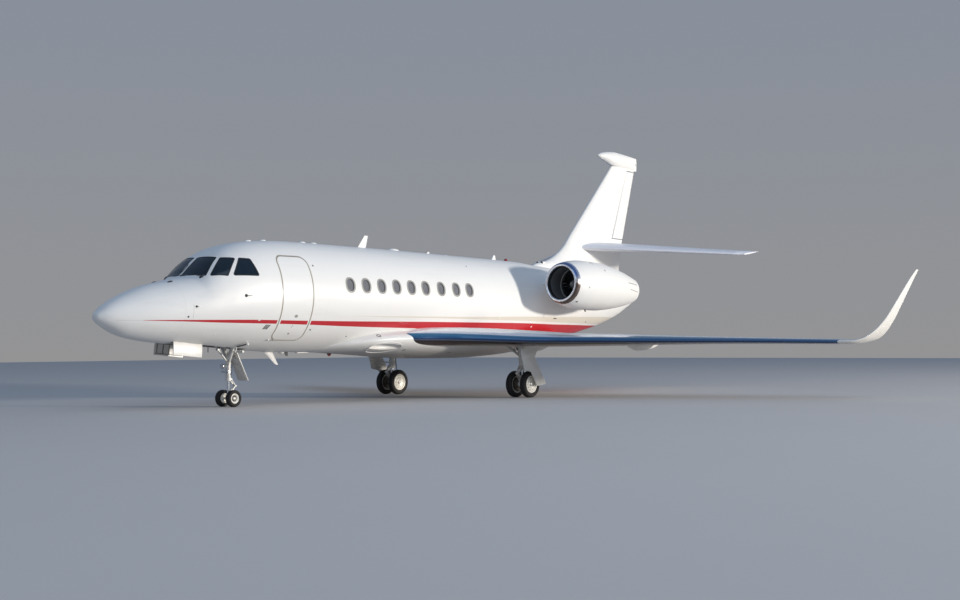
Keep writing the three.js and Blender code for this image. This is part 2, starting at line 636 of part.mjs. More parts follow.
// A control surface with a round nose on its hinge line, straight sides and a pin at each end.
// at(share, offset) places a point of the section at each end
function surface(ends) {
  const rings = ends.map(({ at, thickness, hinge }) => {
    const half = aerofoil(hinge) * thickness;
    const centre = at(hinge, 0);
    const up = at(hinge, 1).sub(centre);
    const aft = at(hinge + 0.01, 0).sub(centre).normalize();
    const nose = [-90, -135, 180, 135, 90].map((a) =>
      V(0, 0, 0).addScaledVector(up, Math.sin(deg(a))).addScaledVector(aft, Math.cos(deg(a)))
        .multiplyScalar(half).add(centre));
    return [...nose, at(1, 1.5), at(1, -1.5)];
  });
  const [a, b] = ends.map(({ at, hinge }) => at(hinge, 0));
  const along = b.clone().sub(a).normalize();
  const beyond = (reach) => {
    return [a.clone().addScaledVector(along, -reach), b.clone().addScaledVector(along, reach)];
  };
  const pin = bar(...beyond(PIN.reach), PIN.radius, PIN.radius, 10);
  return { solid: loft(rings).add(pin), hole: bore(...beyond(PIN.reach + 4), PIN.radius, 10) };
}

function buildWings() {
  const main = wingSlice(BOX, WING[0][0], WING.at(-1)[0], SEAT);
  const bodies = TRACK_FAIRINGS.map(([x, y0, y1, low]) => {
    const sizes = [[0, 0.05], [0.12, 0.6], [0.35, 1], [0.6, 0.9], [0.85, 0.5], [1, 0.06]];
    const rings = sizes.map(([share, size]) => {
      const row = rowAt(WING, x);
      const top = row[3] - 20;
      const y = lerp(y0, y1, share);
      const ring = eggRing(y, top + 20, top - (top - low) * size, top, 75 * size ** 0.6, 10);
      return ring.map((p) => p.setX(p.x + x));
    });
    return loft(rings);
  });
  const [f0, f1] = FLAP_SPAN;
  const flapSpace = wingSlice(REAR, f0 - 20, f1 + 20, -SEAT, SEAT);
  const ribs = AILERON_RIBS.map(([x0, x1]) => wingSlice(REAR, x0, x1, -4));
  const aileron = surface(endsOf(WING, wingPlace, AILERON_SPAN, [AILERON_HINGE, AILERON_HINGE]));
  const fairings = bodies.map((body) => body.subtract(flapSpace));
  const wing = without(joined(main, ...ribs, ...fairings), middleHull, aileron.hole);
  addPair("wing", wing, "white");
  addPair("leading_edge", wingSlice(SLAT, SLAT_ROOT).subtract(middleHull), "polished");
  addPair("flap", wingSlice(REAR, f0, f1, SEAT), "white");
  addPair("aileron", aileron.solid, "white");
  addPair("winglet", buildWinglet(), "white");
}

function buildWinglet() {
  const rings = WINGLET.map(([x, le, te, z, thickness, cant]) => {
    const up = V(-Math.sin(deg(cant)), 0, Math.cos(deg(cant)));
    const at = (share, offset) => V(x, lerp(le, te, share), z).addScaledVector(up, offset);
    return aerofoilRing(at, thickness, 0, 1, 7);
  });
  return loft(rings);
}

function buildBelly() {
  const outer = loft(BELLY.map(([y, half, top, waist, low]) => eggRing(y, top, low, waist, half, 20)));
  const scoopSizes = [[SCOOP.front, 0.15], [lerp(SCOOP.front, SCOOP.back, 0.5), 0.7], [SCOOP.back, 1]];
  const scoopRings = scoopSizes.map(([y, size]) => {
    const [, half] = rowAt(BELLY, y);
    return Array.from({ length: 12 }, (_, i) => {
      const angle = (2 * Math.PI * i) / 12;
      const out = half - 40 + SCOOP.depth * size * Math.cos(angle);
      return V(out, y, SCOOP.z + (SCOOP.height / 2) * size * Math.sin(angle));
    });
  });
  const scoop = loft(scoopRings);
  const scoops = [scoop, solidOf(mirrored(geometryOf(scoop)))];
  const grown = wingSpace(2400);
  const wings = [grown, solidOf(mirrored(geometryOf(grown)))];
  const fairing = without(outer, middleHull, ...wings, ...scoops);
  add("belly_fairing", largest(fairing), "white");
}

// Engines

function engineFrame(side) {
  const group = new THREE.Group();
  group.position.set(side * ENGINE.x, ENGINE.inlet, ENGINE.z);
  group.rotation.x = -deg(ENGINE.dropDeg);
  airframe.add(group);
  return group;
}

const ringBetween = (from, to) => {
  const outer = NACELLE_OUTER.filter(([y]) => y >= from && y <= to).map(([y, r]) => [Math.max(y, from), r]);
  const inner = NACELLE_INNER.filter(([y]) => y >= from && y <= to && y > 0);
  const profile = [...outer, ...inner];
  return [...profile, profile[0]];
};

function fanSolid() {
  const { station, radius, hub, blades } = FAN;
  const cone = [[-190, 0], [-150, 45], [-80, 92], [0, hub], [110, hub + 12], [110, 0]];
  const spinner = turned(cone.map(([y, r]) => [station + y, r]), 12);
  const blade = (i) => {
    const rings = [hub - 30, radius].map((r, k) => {
      const twist = deg([25, 55][k]);
      const half = [42, 68][k];
      const along = V(Math.sin(twist), Math.cos(twist), 0);
      const across = V(along.y, -along.x, 0).multiplyScalar(5);
      const centre = V(0, station + 50, r);
      return [[1, 1], [1, -1], [-1, -1], [-1, 1]].map(([a, b]) =>
        centre.clone().addScaledVector(along, a * half).addScaledVector(across, b * (a > 0 ? 0.5 : 1)));
    });
    const geometry = geometryOf(loft(rings)).rotateY((2 * Math.PI * i) / blades);
    return solidOf(geometry);
  };
  const shaft = bar(V(0, station + 100, 0), V(0, CORE[0][0] + 60, 0), FAN.shaft, FAN.shaft, 12);
  return joined(spinner, shaft, ...Array.from({ length: blades }, (_, i) => blade(i)));
}

function coreSolid() {
  const body = turned(CORE, 16);
  const vanes = Array.from({ length: CORE_VANES }, (_, i) => {
    const geometry = new THREE.BoxGeometry(12, 160, 230).translate(0, 1010, 340);
    return solidOf(geometry.rotateY((2 * Math.PI * i) / CORE_VANES));
  });
  const duct = NACELLE_INNER.slice(2, 6).map(([y, r]) => [y, r - SEAT]);
  const inside = turned([[480, 0], ...duct.reverse(), [2600, 0]], ENGINE.sides);
  const shaftHole = bore(V(0, 700, 0), V(0, CORE[0][0] + 66, 0), FAN.shaft, 12);
  return joined(body, ...vanes.map((vane) => vane.intersect(inside))).subtract(shaftHole);
}

function buildEngines() {
  const lip = turned(ringBetween(0, LIP_DEPTH), ENGINE.sides);
  const cowlProfile = ringBetween(LIP_DEPTH, 4000).map(([y, r]) => [y === LIP_DEPTH ? y + SEAT : y, r]);
  const cowl = turned(cowlProfile, ENGINE.sides);
  for (const [side, word] of [[1, "left"], [-1, "right"]]) {
    const group = engineFrame(side);
    add("inlet_lip_" + word, lip, "chrome", group);
    add("nacelle_" + word, cowl, "white", group);
    add("fan_" + word, fanSolid(), "steel", group);
    add("engine_core_" + word, coreSolid(), "dark", group);
  }
  const rings = PYLON.map(([x, le, te, z, thickness]) =>
    aerofoilRing((share, offset) => V(x, lerp(le, te, share), z + offset), thickness, 0, 1, 8));
  const group = engineFrame(1);
  group.updateMatrixWorld(true);
  airframe.remove(group);
  const grown = turned([[0, 0], ...NACELLE_OUTER.map(([y, r]) => [y, r + 1]), [NACELLE_OUTER.at(-1)[0], 0]], ENGINE.sides);
  const placed = geometryOf(grown).applyMatrix4(group.matrix);
  addPair("pylon", without(loft(rings), fuselageHull, solidOf(placed)), "white");
}

// Tail

const finPlace = ([z, le, te]) => (share, offset) => V(offset, lerp(le, te, share), z);
const tailPlace = ([x, le, te, zLe, zTe]) => (share, offset) =>
  V(x, lerp(le, te, share), lerp(zLe, zTe, share) + offset);

// The space behind a fixed surface where its moving part goes, between two sections
function cutout(ends, margin, reach = 400) {
  return loft(ends.map(({ at, hinge }) => {
    const front = hinge - margin;
    return [at(front, reach), at(1.3, reach), at(1.3, -reach), at(front, -reach)];
  }));
}

// The two ends of a moving surface, each with its hinge's share of the chord
const endsOf = (table, place, positions, hinges) => positions.map((position, i) => {
  const row = rowAt(table, position);
  return { at: place(row), thickness: row.at(-1), hinge: hinges[i] };
});

const fullTailplane = (grow) => {
  const rows = [...TAILPLANE.slice(1).map((row) => [-row[0], ...row.slice(1)]).reverse(), ...TAILPLANE];
  return loft(rows.map((row) => aerofoilRing(tailPlace(row), row[5], 0, 1, 8, grow)));
};

function buildTail() {
  const lower = loft(FIN_LOWER.map((row) => aerofoilRing(finPlace(row), row[3], 0, 1, 7)));
  const upper = loft(FIN_UPPER.map((row) => aerofoilRing(finPlace(row), row[3], 0, 1, 7)));
  const cap = (grow) => loft(FIN_CAP.map(([y, half, top, low]) =>
    eggRing(y, top, low - grow, (top + low) / 2, half + grow, 16)));
  const rudder = surface(endsOf(FIN_UPPER, finPlace, [RUDDER.bottom, RUDDER.top], RUDDER.hinges));
  const slotSpan = [FIN_LOWER.at(-1)[0], RUDDER.above];
  const slot = cutout(endsOf(FIN_UPPER, finPlace, slotSpan, RUDDER.hinges), 0.05);
  const fixed = upper.subtract(slot).add(lower);
  add("fin", largest(without(fixed, fuselageHull, cap(SEAT), fullTailplane(SEAT), rudder.hole)), "white");
  add("fin_cap", cap(0), "white");
  add("rudder", rudder.solid, "white");

  const elevator = surface(endsOf(TAILPLANE, tailPlace, ELEVATOR_SPAN, ELEVATOR_HINGES));
  const bay = cutout(endsOf(TAILPLANE, tailPlace, ELEVATOR_ENDS, ELEVATOR_HINGES), 0.04);
  const cuts = [bay, elevator.hole].flatMap(bothSides);
  add("tailplane", without(fullTailplane(0), ...cuts), "white");
  addPair("elevator", elevator.solid, "white");
}

// Landing gear

// A body of revolution about the Y axis that has a flat, not a corner, towards the ground
const standing = (profile, sides) => geometryOf(turned(profile, sides)).rotateY(Math.PI / sides);

// Tyre ring about the Y axis, centred on the origin, whose flats are at the tyre's radius
function tyreSolid({ tyreRadius, tyreWidth, rimRadius }, sides) {
  const h = tyreWidth / 2;
  const middle = lerp(rimRadius, tyreRadius, 0.5);
  const tread = tyreRadius / Math.cos(Math.PI / sides);
  const half = [[h * 0.55, tread], [h, middle], [h * 0.62, rimRadius + SEAT]];
  const profile = [...half.map(([y, r]) => [-y, r]).reverse(), ...half];
  return solidOf(standing([...profile, profile[0]], sides));
}

// The two rims and the axle that joins them, about the Y axis
function wheelsSolid({ tyreWidth, rimRadius, spacing }, axle, sides) {
  const h = tyreWidth * 0.31;
  const dish = [[h - 24, rimRadius - 22], [h - 28, rimRadius * 0.45], [h + 6, rimRadius * 0.38], [h + 6, 0]];
  const profile = [[-h, 0], [-h, rimRadius], [h, rimRadius], ...dish];
  const outer = standing(profile, sides).translate(0, spacing / 2, 0);
  const inner = solidOf(outer.clone().rotateZ(Math.PI));
  return joined(solidOf(outer), inner, bar(V(0, -spacing / 2, 0), V(0, spacing / 2, 0), axle, axle, 12));
}

// Wheels and tyres of one leg, on an axle along X
function addWheels(word, gear, x, axle, tyreSides, parent = airframe) {
  const group = new THREE.Group();
  group.position.set(x, gear.station, gear.tyreRadius);
  group.rotation.z = -Math.PI / 2;
  parent.add(group);
  add(word + "_wheels", wheelsSolid(gear, axle, tyreSides), "rim", group);
  for (const [side, name] of [[1, "_tyre_a"], [-1, "_tyre_b"]]) {
    const tyre = add(word + name, tyreSolid(gear, tyreSides), "tyre", group);
    tyre.position.y = side * gear.spacing / 2;
  }
}

// A bearing across X at the foot of a leg, and the hole for its axle
function bearing(x, y, z, length, radius, axle) {
  const outer = bar(V(x - length / 2, y, z), V(x + length / 2, y, z), radius, radius, 12);
  return { outer, hole: bore(V(x - length, y, z), V(x + length, y, z), axle, 12) };
}

function buildNoseGear() {
  const { station: y, tyreRadius: r, topZ } = NOSE_GEAR;
  const cylinderFoot = 640;
  const yoke = [-1, 1].map((side) => bar(V(side * 20, y, 960), V(side * 225, y - 20, topZ + 60), 34, 40));
  const reach = BAY.half - SEAT;
  const trunnion = bar(V(-reach, y - 20, topZ + 60), V(reach, y - 20, topZ + 60), 30);
  const brace = bar(V(0, y - 60, 1000), V(0, y - 480, 1440), 22);
  const braceArms = bar(V(-reach, y - 480, 1440), V(reach, y - 480, 1440), 20);
  const cylinder = bar(V(0, y, cylinderFoot), V(0, y, 1100), 52, 58, 12);
  const door = [[y + 95, 1180], [y + 120, 1180], [y + 440, 560], [y + 415, 555]];
  const fork = [-1, 1].map((side) => bar(V(side * 30, y + 30, 1050), V(side * 70, y + 165, 1060), 14, 14, 8));
  const { x: lampX, z: lampZ, radius: lampRadius, arm } = NOSE_LAMPS;
  const lampArm = bar(V(30, y, lampZ), V(lampX.at(-1), y, lampZ), arm, arm, 8);
  const lamps = lampX.map((x) => bar(V(x, y - 40, lampZ), V(x, y + 30, lampZ), lampRadius, lampRadius, 12));
  const leg = joined(cylinder, ...yoke, trunnion, brace, braceArms, ...fork, lampArm, ...lamps);
  const doorSpace = door.map(([a, b], i) => [a + (i === 0 || i === 3 ? -2 * SEAT : SEAT), b]);
  const pivotBore = bore(V(0, y, cylinderFoot - 10), V(0, y, cylinderFoot + 124), 36, 12);
  add("nose_leg", without(leg, plate(doorSpace, -170, 170), pivotBore), "gear");
  add("nose_leg_door", plate(door, -165, 165), "white");

  const gap = 2;
  const foot = bearing(0, y, r, 120, 42, NOSE_AXLE_RADIUS);
  const collar = bar(V(0, y, 560), V(0, y, cylinderFoot - gap), 66, 66, 12);
  const piston = bar(V(0, y, r), V(0, y, 580), 30, 30, 10);
  const pivot = bar(V(0, y, 600), V(0, y, cylinderFoot + 120), 36, 36, 12);
  const upperLink = bar(V(0, y + 40, 600), V(0, y + 185, 450), 16, 16, 6);
  const lowerLink = bar(V(0, y + 185, 450), V(0, y + 15, 290), 16, 16, 6);
  const knee = bar(V(-40, y + 185, 450), V(40, y + 185, 450), 22, 22, 6);
  const strut = joined(collar, piston, pivot, upperLink, lowerLink, knee, foot.outer);
  add("nose_strut", strut.subtract(foot.hole), "steel");
  addWheels("nose", NOSE_GEAR, 0, NOSE_AXLE_RADIUS, 18);

  addPair("nose_bay_door", buildBayDoor(), "white");
}

// The left bay door: a piece of the belly's skin, swung open about its hinge line
function buildBayDoor() {
  const { front, back, thick, hingeX, frontZ, backZ, openDeg } = BAY_DOOR;
  const skin = fuselageBody(RADOME_END, 2600, 0).subtract(fuselageBody(RADOME_END - 5, 2605, thick));
  const leaf = skin.intersect(box(RUN, hingeX, front, back, 0, 1500));
  const closed = joined(leaf, bayHinge(0, 9, 8), bayHinge(-20, 6, 10));
  const hinge = V(hingeX, front, frontZ);
  const axis = V(hingeX, back, backZ).sub(hinge).normalize();
  const geometry = geometryOf(closed).translate(-hinge.x, -hinge.y, -hinge.z);
  geometry.applyQuaternion(new THREE.Quaternion().setFromAxisAngle(axis, -deg(openDeg)));
  return solidOf(geometry.translate(hinge.x, hinge.y, hinge.z));
}

function buildMainGear() {
  const { station: y, tyreRadius: r, topZ } = MAIN_GEAR;
  const x = TRACK / 2;
  const foot = bearing(x, y, r, 150, 78, AXLE_RADIUS);
  const piston = bar(V(x, y, r), V(x, y, 800), 50, 50, 12);
  const cylinder = bar(V(x, y, 700), V(x - 30, y, topZ + 60), 82, 92, 12);
  const brace = bar(V(x - 40, y, 1010), V(x - 560, y, 1330), 34, 34, 8);
  const upperLink = bar(V(x, y - 60, 760), V(x, y - 210, 600), 22, 22, 6);
  const lowerLink = bar(V(x, y - 210, 600), V(x, y - 40, 420), 22, 22, 6);
  const knee = bar(V(x - 50, y - 210, 600), V(x + 50, y - 210, 600), 26, 26, 6);
  const links = joined(upperLink, lowerLink, knee);
  const doorArms = [860, 1150].map((z) => bar(V(x, y - 60, z), V(LEG_DOOR_X - 0.4, y - 150, z), 18, 18, 8));
  const upper = joined(foot.outer, piston, cylinder, brace, links, ...doorArms);
  const wingBody = wingSpace(3300);
  const doorSpace = box(LEG_DOOR_X - SEAT, LEG_DOOR_X + 100, 0, LENGTH, 0, 2000);
  const bellyRing = ([s, half, top, waist, low]) => eggRing(s, top + 1, low - 1, waist, half + 1, 20);
  const belly = loft(BELLY.map(bellyRing));
  addPair("main_leg", largest(without(upper, foot.hole, wingBody, belly, doorSpace)), "gear");
  addPair("main_leg_door", plate(LEG_DOOR, LEG_DOOR_X, LEG_DOOR_X + 24).subtract(wingBody), "white");
  for (const [side, word] of [[1, "main_left"], [-1, "main_right"]]) {
    addWheels(word, MAIN_GEAR, side * x, AXLE_RADIUS, 20);
  }
}

buildFuselage();
buildCockpit();
buildPassengerDoor();
buildWings();
buildBelly();
buildEngines();
buildTail();
buildNoseGear();
buildMainGear();

export default jet;
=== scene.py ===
"""Looks of a twin-engined business jet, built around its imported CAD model. Metres, +Z up, nose towards -Y."""

import math

import bpy
import numpy as np
from mathutils import Matrix, Vector


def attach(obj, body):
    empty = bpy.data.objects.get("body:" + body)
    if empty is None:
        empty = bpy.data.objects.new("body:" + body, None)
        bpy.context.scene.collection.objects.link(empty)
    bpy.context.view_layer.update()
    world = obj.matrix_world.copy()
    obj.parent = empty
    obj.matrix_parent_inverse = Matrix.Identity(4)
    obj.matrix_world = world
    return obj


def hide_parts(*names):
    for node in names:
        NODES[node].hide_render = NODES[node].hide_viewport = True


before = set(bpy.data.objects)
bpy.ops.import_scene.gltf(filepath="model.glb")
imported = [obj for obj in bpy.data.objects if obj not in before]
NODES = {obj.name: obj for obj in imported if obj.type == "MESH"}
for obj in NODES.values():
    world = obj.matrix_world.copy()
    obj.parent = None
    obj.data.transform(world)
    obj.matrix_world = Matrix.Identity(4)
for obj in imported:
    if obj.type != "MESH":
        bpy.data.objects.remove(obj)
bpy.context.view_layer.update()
scene = bpy.context.scene

NOSE = -10.115  # where station 0, the nose tip, lies along Y
SEAT = 0.0003  # gap between pieces that touch
RUN = 0.008  # gap round pieces that move
AXIS_RADIUS = 0.0002  # stands for no radius where a turned body ends on its axis
TAU = 2 * math.pi


# ---- camera

FOCAL_PX = 1348.4  # focal length in pixels of a picture that is IMAGE_WIDTH wide
IMAGE_WIDTH = 960
SENSOR_MM = 36
VIEW_REACH = 500
CAMERA_AT = Vector((22.790, -25.787, 1.289))
CAMERA_FORWARD = Vector((-0.63566, 0.77122, 0.03393)).normalized()
CAMERA_RIGHT = Vector((0.7717, 0.6360, 0.0)).normalized()
CAMERA_ROLL = math.radians(-0.319)


def add_camera():
    data = bpy.data.cameras.new("camera")
    data.sensor_width = SENSOR_MM
    data.lens = SENSOR_MM * FOCAL_PX / IMAGE_WIDTH
    data.clip_end = VIEW_REACH
    camera = bpy.data.objects.new("camera", data)
    scene.collection.objects.link(camera)
    up = CAMERA_RIGHT.cross(CAMERA_FORWARD)
    right = CAMERA_RIGHT * math.cos(CAMERA_ROLL) + up * math.sin(CAMERA_ROLL)
    up = right.cross(CAMERA_FORWARD)
    camera.matrix_world = Matrix((right, up, -CAMERA_FORWARD)).transposed().to_4x4()
    camera.location = CAMERA_AT
    scene.camera = camera


add_camera()


# ---- curves and meshes


def smooth_curve(xs, ys):
    """A monotone cubic through the points, as a function of arrays."""
    xs, ys = np.asarray(xs, float), np.asarray(ys, float)
    h = np.diff(xs)
    d = np.diff(ys) / h
    m = np.zeros_like(ys)
    for i in range(1, len(xs) - 1):
        if d[i - 1] * d[i] > 0:
            w1, w2 = 2 * h[i] + h[i - 1], h[i] + 2 * h[i - 1]
            m[i] = (w1 + w2) / (w1 / d[i - 1] + w2 / d[i])
    m[0], m[-1] = d[0], d[-1]

    def at(x):
        x = np.clip(np.asarray(x, float), xs[0], xs[-1])
        i = np.clip(np.searchsorted(xs, x) - 1, 0, len(xs) - 2)
        t = (x - xs[i]) / h[i]
        rise = t * t * (3 - 2 * t)
        slopes = t * (1 - t) ** 2 * h[i] * m[i] + t * t * (t - 1) * h[i] * m[i + 1]
        return (1 - rise) * ys[i] + rise * ys[i + 1] + slopes

    return at


def table_curves(rows, key=lambda v: v):
    """One smooth curve for each column of a table after the first."""
    rows = np.asarray(rows, float)
    xs = key(rows[:, 0])
    curves = [smooth_curve(xs, rows[:, k]) for k in range(1, rows.shape[1])]
    return lambda v: [curve(key(np.asarray(v, float))) for curve in curves]


def straight(rows, at):
    """Values of a table's row at a position in its first column, straight between rows."""
    rows = np.asarray(rows, float)
    return [float(np.interp(at, rows[:, 0], rows[:, k])) for k in range(1, rows.shape[1])]


def new_object(name, verts, faces):
    mesh = bpy.data.meshes.new(name)
    mesh.from_pydata([tuple(map(float, v)) for v in verts], [], faces)
    obj = bpy.data.objects.new(name, mesh)
    scene.collection.objects.link(obj)
    return obj


def flip_outward(obj):
    """Turns the faces so that the closed body's volume is positive."""
    mesh = obj.data
    mesh.calc_loop_triangles()
    co = np.array([v.co for v in mesh.vertices])
    tri = np.array([t.vertices for t in mesh.loop_triangles])
    a, b, c = co[tri[:, 0]], co[tri[:, 1]], co[tri[:, 2]]
    if np.einsum("ij,ij->i", a, np.cross(b, c)).sum() < 0:
        mesh.flip_normals()
    return obj


def loft(name, rings, closed=False):
    """A closed body through rings of points. A closed loft joins its last ring to its first."""
    rings = np.asarray(rings, float)
    count, cols = rings.shape[:2]
    starts = [k * cols for k in range(count)]
    ends = starts[1:] + starts[:1] if closed else starts[1:]
    faces = [(a + i, a + (i + 1) % cols, b + (i + 1) % cols, b + i) for a, b in zip(starts, ends) for i in range(cols)]
    if not closed:
        faces += [tuple(range(cols - 1, -1, -1)), tuple(range(starts[-1], starts[-1] + cols))]
    return flip_outward(new_object(name, rings.reshape(-1, 3), faces))


def box(name, x0, x1, y0, y1, z0, z1):
    ring = [(x0, y0), (x1, y0), (x1, y1), (x0, y1)]
    return loft(name, [[(x, y, z) for x, y in ring] for z in (z0, z1)])


def prism(name, outline, x0, x1):
    """A flat outline of (y, z) points, given thickness along X."""
    return loft(name, [[(x, y, z) for y, z in outline] for x in (x0, x1)])


def turned(name, profile, sides, place=None, closed=False):
    """A body of revolution about the Y axis from (distance, radius) points."""
    angles = np.arange(sides) * TAU / sides
    radii = [(y, max(r, AXIS_RADIUS)) for y, r in profile]
    obj = loft(name, [[(r * math.cos(a), y, r * math.sin(a)) for a in angles] for y, r in radii], closed)
    if place is not None:
        obj.data.transform(place)
    return obj


def rod(name, points, radius, sides=16):
    """A round bar along points, with one radius or one for each point."""
    points = [Vector(p) for p in points]
    radii = radius if isinstance(radius, (list, tuple)) else [radius] * len(points)
    rings = []
    side = None
    for i, p in enumerate(points):
        before = points[max(i - 1, 0)]
        after = points[min(i + 1, len(points) - 1)]
        along = (after - before).normalized()
        if side is None:
            side = along.orthogonal().normalized()
        side = (side - along * side.dot(along)).normalized()
        up = along.cross(side)
        rings.append([
            p + (side * math.cos(a) + up * math.sin(a)) * radii[i]
            for a in (k * TAU / sides for k in range(sides))
        ])
    return loft(name, rings)


def bake_modifiers(obj):
    graph = bpy.context.evaluated_depsgraph_get()
    mesh = bpy.data.meshes.new_from_object(obj.evaluated_get(graph))
    obj.modifiers.clear()
    old = obj.data
    obj.data = mesh
    bpy.data.meshes.remove(old)


def delete(*objs):
    for obj in objs:
        mesh = obj.data
        bpy.data.objects.remove(obj)
        bpy.data.meshes.remove(mesh)


def boolean(obj, tools, operation="DIFFERENCE", keep=False):
    for tool in tools:
        modifier = obj.modifiers.new("cut", "BOOLEAN")
        modifier.operation = operation
        modifier.object = tool
        modifier.solver = "MANIFOLD"
    bake_modifiers(obj)
    if not keep:
        delete(*tools)
    return obj


def join(name, objs):
    """Joins meshes into the first one, with its materials."""
    first = objs[0]
    with bpy.context.temp_override(active_object=first, selected_editable_objects=objs):
        bpy.ops.object.join()
    first.name = name
    return first


def copy_of(obj, name):
    twin = obj.copy()
    twin.data = obj.data.copy()
    twin.name = name
    scene.collection.objects.link(twin)
    return twin


def mirrored(obj, name):
    """The same piece on the other side of the centre plane."""
    twin = copy_of(obj, name)
    twin.data.transform(Matrix.Scale(-1, 4, Vector((1, 0, 0))))
    twin.data.flip_normals()
    return twin


def dress(obj, look, slot, body="airframe", nodes=(), angle=32):
    """Gives a piece its material and smoothing, and says its body and the nodes that it stands for. slot is not used.
    """
    mesh = obj.data
    mesh.materials.clear()
    mesh.materials.append(M[look])
    mesh.polygons.foreach_set("use_smooth", [True] * len(mesh.polygons))
    mesh.set_sharp_from_angle(angle=math.radians(angle))
    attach(obj, body)
    if nodes:
        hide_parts(*nodes)
    return obj


def dress_pair(left, name, look, slot, body="airframe", nodes=(), angle=32):
    """The piece on the left, named NAME_left, and its twin on the right. Left is mirrored in the other names too."""
    left.name = left.data.name = name + "_left"
    right = mirrored(left, name + "_right")
    dress(left, look, slot, body, nodes, angle)
    nodes = [n.replace("_left", "_right") for n in nodes]
    dress(right, look, slot, body.replace("_left", "_right"), nodes, angle)
    return left, right


def put(name, parts, *how, **more):
    """Joins parts into one piece and dresses it."""
    return dress(join(name, parts), *how, **more)


def put_pair(name, parts, *how, **more):
    return dress_pair(join(name, parts), name, *how, **more)


# ---- materials


class Graph:
    """Builds the nodes of one material from short expressions."""

    def __init__(self, name):
        self.material = bpy.data.materials.new(name)
        self.material.use_nodes = True
        self.tree = self.material.node_tree
        self.shader = self.tree.nodes["Principled BSDF"]
        coordinates = self.tree.nodes.new("ShaderNodeTexCoord")
        self.place = coordinates.outputs["Object"]
        split = self.tree.nodes.new("ShaderNodeSeparateXYZ")
        self.tree.links.new(self.place, split.inputs[0])
        self.x, self.y, self.z = split.outputs
        self.station = self.minus(self.y, NOSE)

    def plug(self, socket, value):
        """Links a value to a socket, or sets it there as a number."""
        if isinstance(value, bpy.types.NodeSocket):
            self.tree.links.new(value, socket)
        else:
            socket.default_value = value

    def calc(self, operation, a, b=0.0, c=0.0, clamp=False):
        node = self.tree.nodes.new("ShaderNodeMath")
        node.operation = operation
        node.use_clamp = clamp
        for socket, value in zip(node.inputs, (a, b, c)):
            self.plug(socket, value)
        return node.outputs[0]

    def times(self, a, b):
        return self.calc("MULTIPLY", a, b)

    def minus(self, a, b):
        return self.calc("SUBTRACT", a, b)

    def linear(self, value, slope, start, clamp=False):
        return self.calc("MULTIPLY_ADD", value, slope, start, clamp)

    def size(self, value):
        """A value without its sign."""
        return self.calc("ABSOLUTE", value)

    def length(self, a, b):
        return self.calc("SQRT", self.calc("ADD", self.times(a, a), self.times(b, b)))

    def above(self, value, limit, soft=0.0015):
        """1 where value is over limit, 0 under it, with an edge of the given width."""
        return self.linear(self.minus(value, limit), 1 / soft, 0.5, clamp=True)

    def below(self, value, limit, soft=0.0015):
        return self.linear(self.minus(limit, value), 1 / soft, 0.5, clamp=True)

    def between(self, value, low, high, soft=0.0015):
        return self.both(self.above(value, low, soft), self.below(value, high, soft))

    def both(self, *masks):
        result = masks[0]
        for mask in masks[1:]:
            result = self.times(result, mask)
        return result

    def but_not(self, mask):
        return self.calc("SUBTRACT", 1.0, mask, clamp=True)

    def curve(self, value, points, low, high):
        """A curve of value through (input, output) points. Outputs lie between low and high."""
        first, last = points[0][0], points[-1][0]
        node = self.tree.nodes.new("ShaderNodeFloatCurve")
        line = node.mapping.curves[0]
        while len(line.points) < len(points):
            line.points.new(0.5, 0.5)
        for point, (at, out) in zip(line.points, points):
            point.location = ((at - first) / (last - first), (out - low) / (high - low))
            point.handle_type = "AUTO_CLAMPED"
        node.mapping.update()
        share = self.linear(value, 1 / (last - first), -first / (last - first), clamp=True)
        self.plug(node.inputs["Value"], share)
        return self.linear(node.outputs[0], high - low, low)

    def stretched(self, scale):
        node = self.tree.nodes.new("ShaderNodeMapping")
        node.inputs["Scale"].default_value = scale
        self.plug(node.inputs["Vector"], self.place)
        return node.outputs[0]

    def noise(self, size, detail=3.0, rough=0.5, stretch=None):
        """A noise from 0 to 1 whose lumps are about size metres across."""
        node = self.tree.nodes.new("ShaderNodeTexNoise")
        node.inputs["Scale"].default_value = 1 / size
        node.inputs["Detail"].default_value = detail
        node.inputs["Roughness"].default_value = rough
        self.plug(node.inputs["Vector"], self.stretched(stretch) if stretch else self.place)
        return node.outputs["Fac"]

    def remap(self, value, low, high, to_low=0.0, to_high=1.0):
        node = self.tree.nodes.new("ShaderNodeMapRange")
        node.interpolation_type = "SMOOTHSTEP"
        for name, number in (("From Min", low), ("From Max", high), ("To Min", to_low), ("To Max", to_high)):
            self.plug(node.inputs[name], number)
        self.plug(node.inputs["Value"], value)
        return node.outputs["Result"]

    def mix(self, share, a, b):
        node = self.tree.nodes.new("ShaderNodeMix")
        node.data_type = "RGBA"
        self.plug(node.inputs[0], share)
        for socket, color in ((node.inputs[6], a), (node.inputs[7], b)):
            self.plug(socket, (*color, 1) if isinstance(color, tuple) else color)
        return node.outputs[2]

    def tinge(self, share, strength, a, b):
        """Colour a with colour b over it, as far as share says and at most as strong as strength."""
        return self.mix(self.times(share, strength), a, b)

    def bump(self, height, distance, strength=0.5):
        node = self.tree.nodes.new("ShaderNodeBump")
        node.inputs["Strength"].default_value = strength
        node.inputs["Distance"].default_value = distance
        self.plug(node.inputs["Height"], height)
        self.plug(self.shader.inputs["Normal"], node.outputs[0])

    def set(self, **values):
        for name, value in values.items():
            name = name.replace("_", " ")
            if isinstance(value, tuple) and len(value) == 3:
                value = (*value, 1)
            self.plug(self.shader.inputs[name], value)
        return self.material


WHITE = (0.84, 0.83, 0.81)
CREAM = (0.70, 0.65, 0.56)
RED = (0.52, 0.018, 0.028)
SEAM_GREY = (0.30, 0.29, 0.28)
DOOR_LINE = (0.48, 0.44, 0.38)

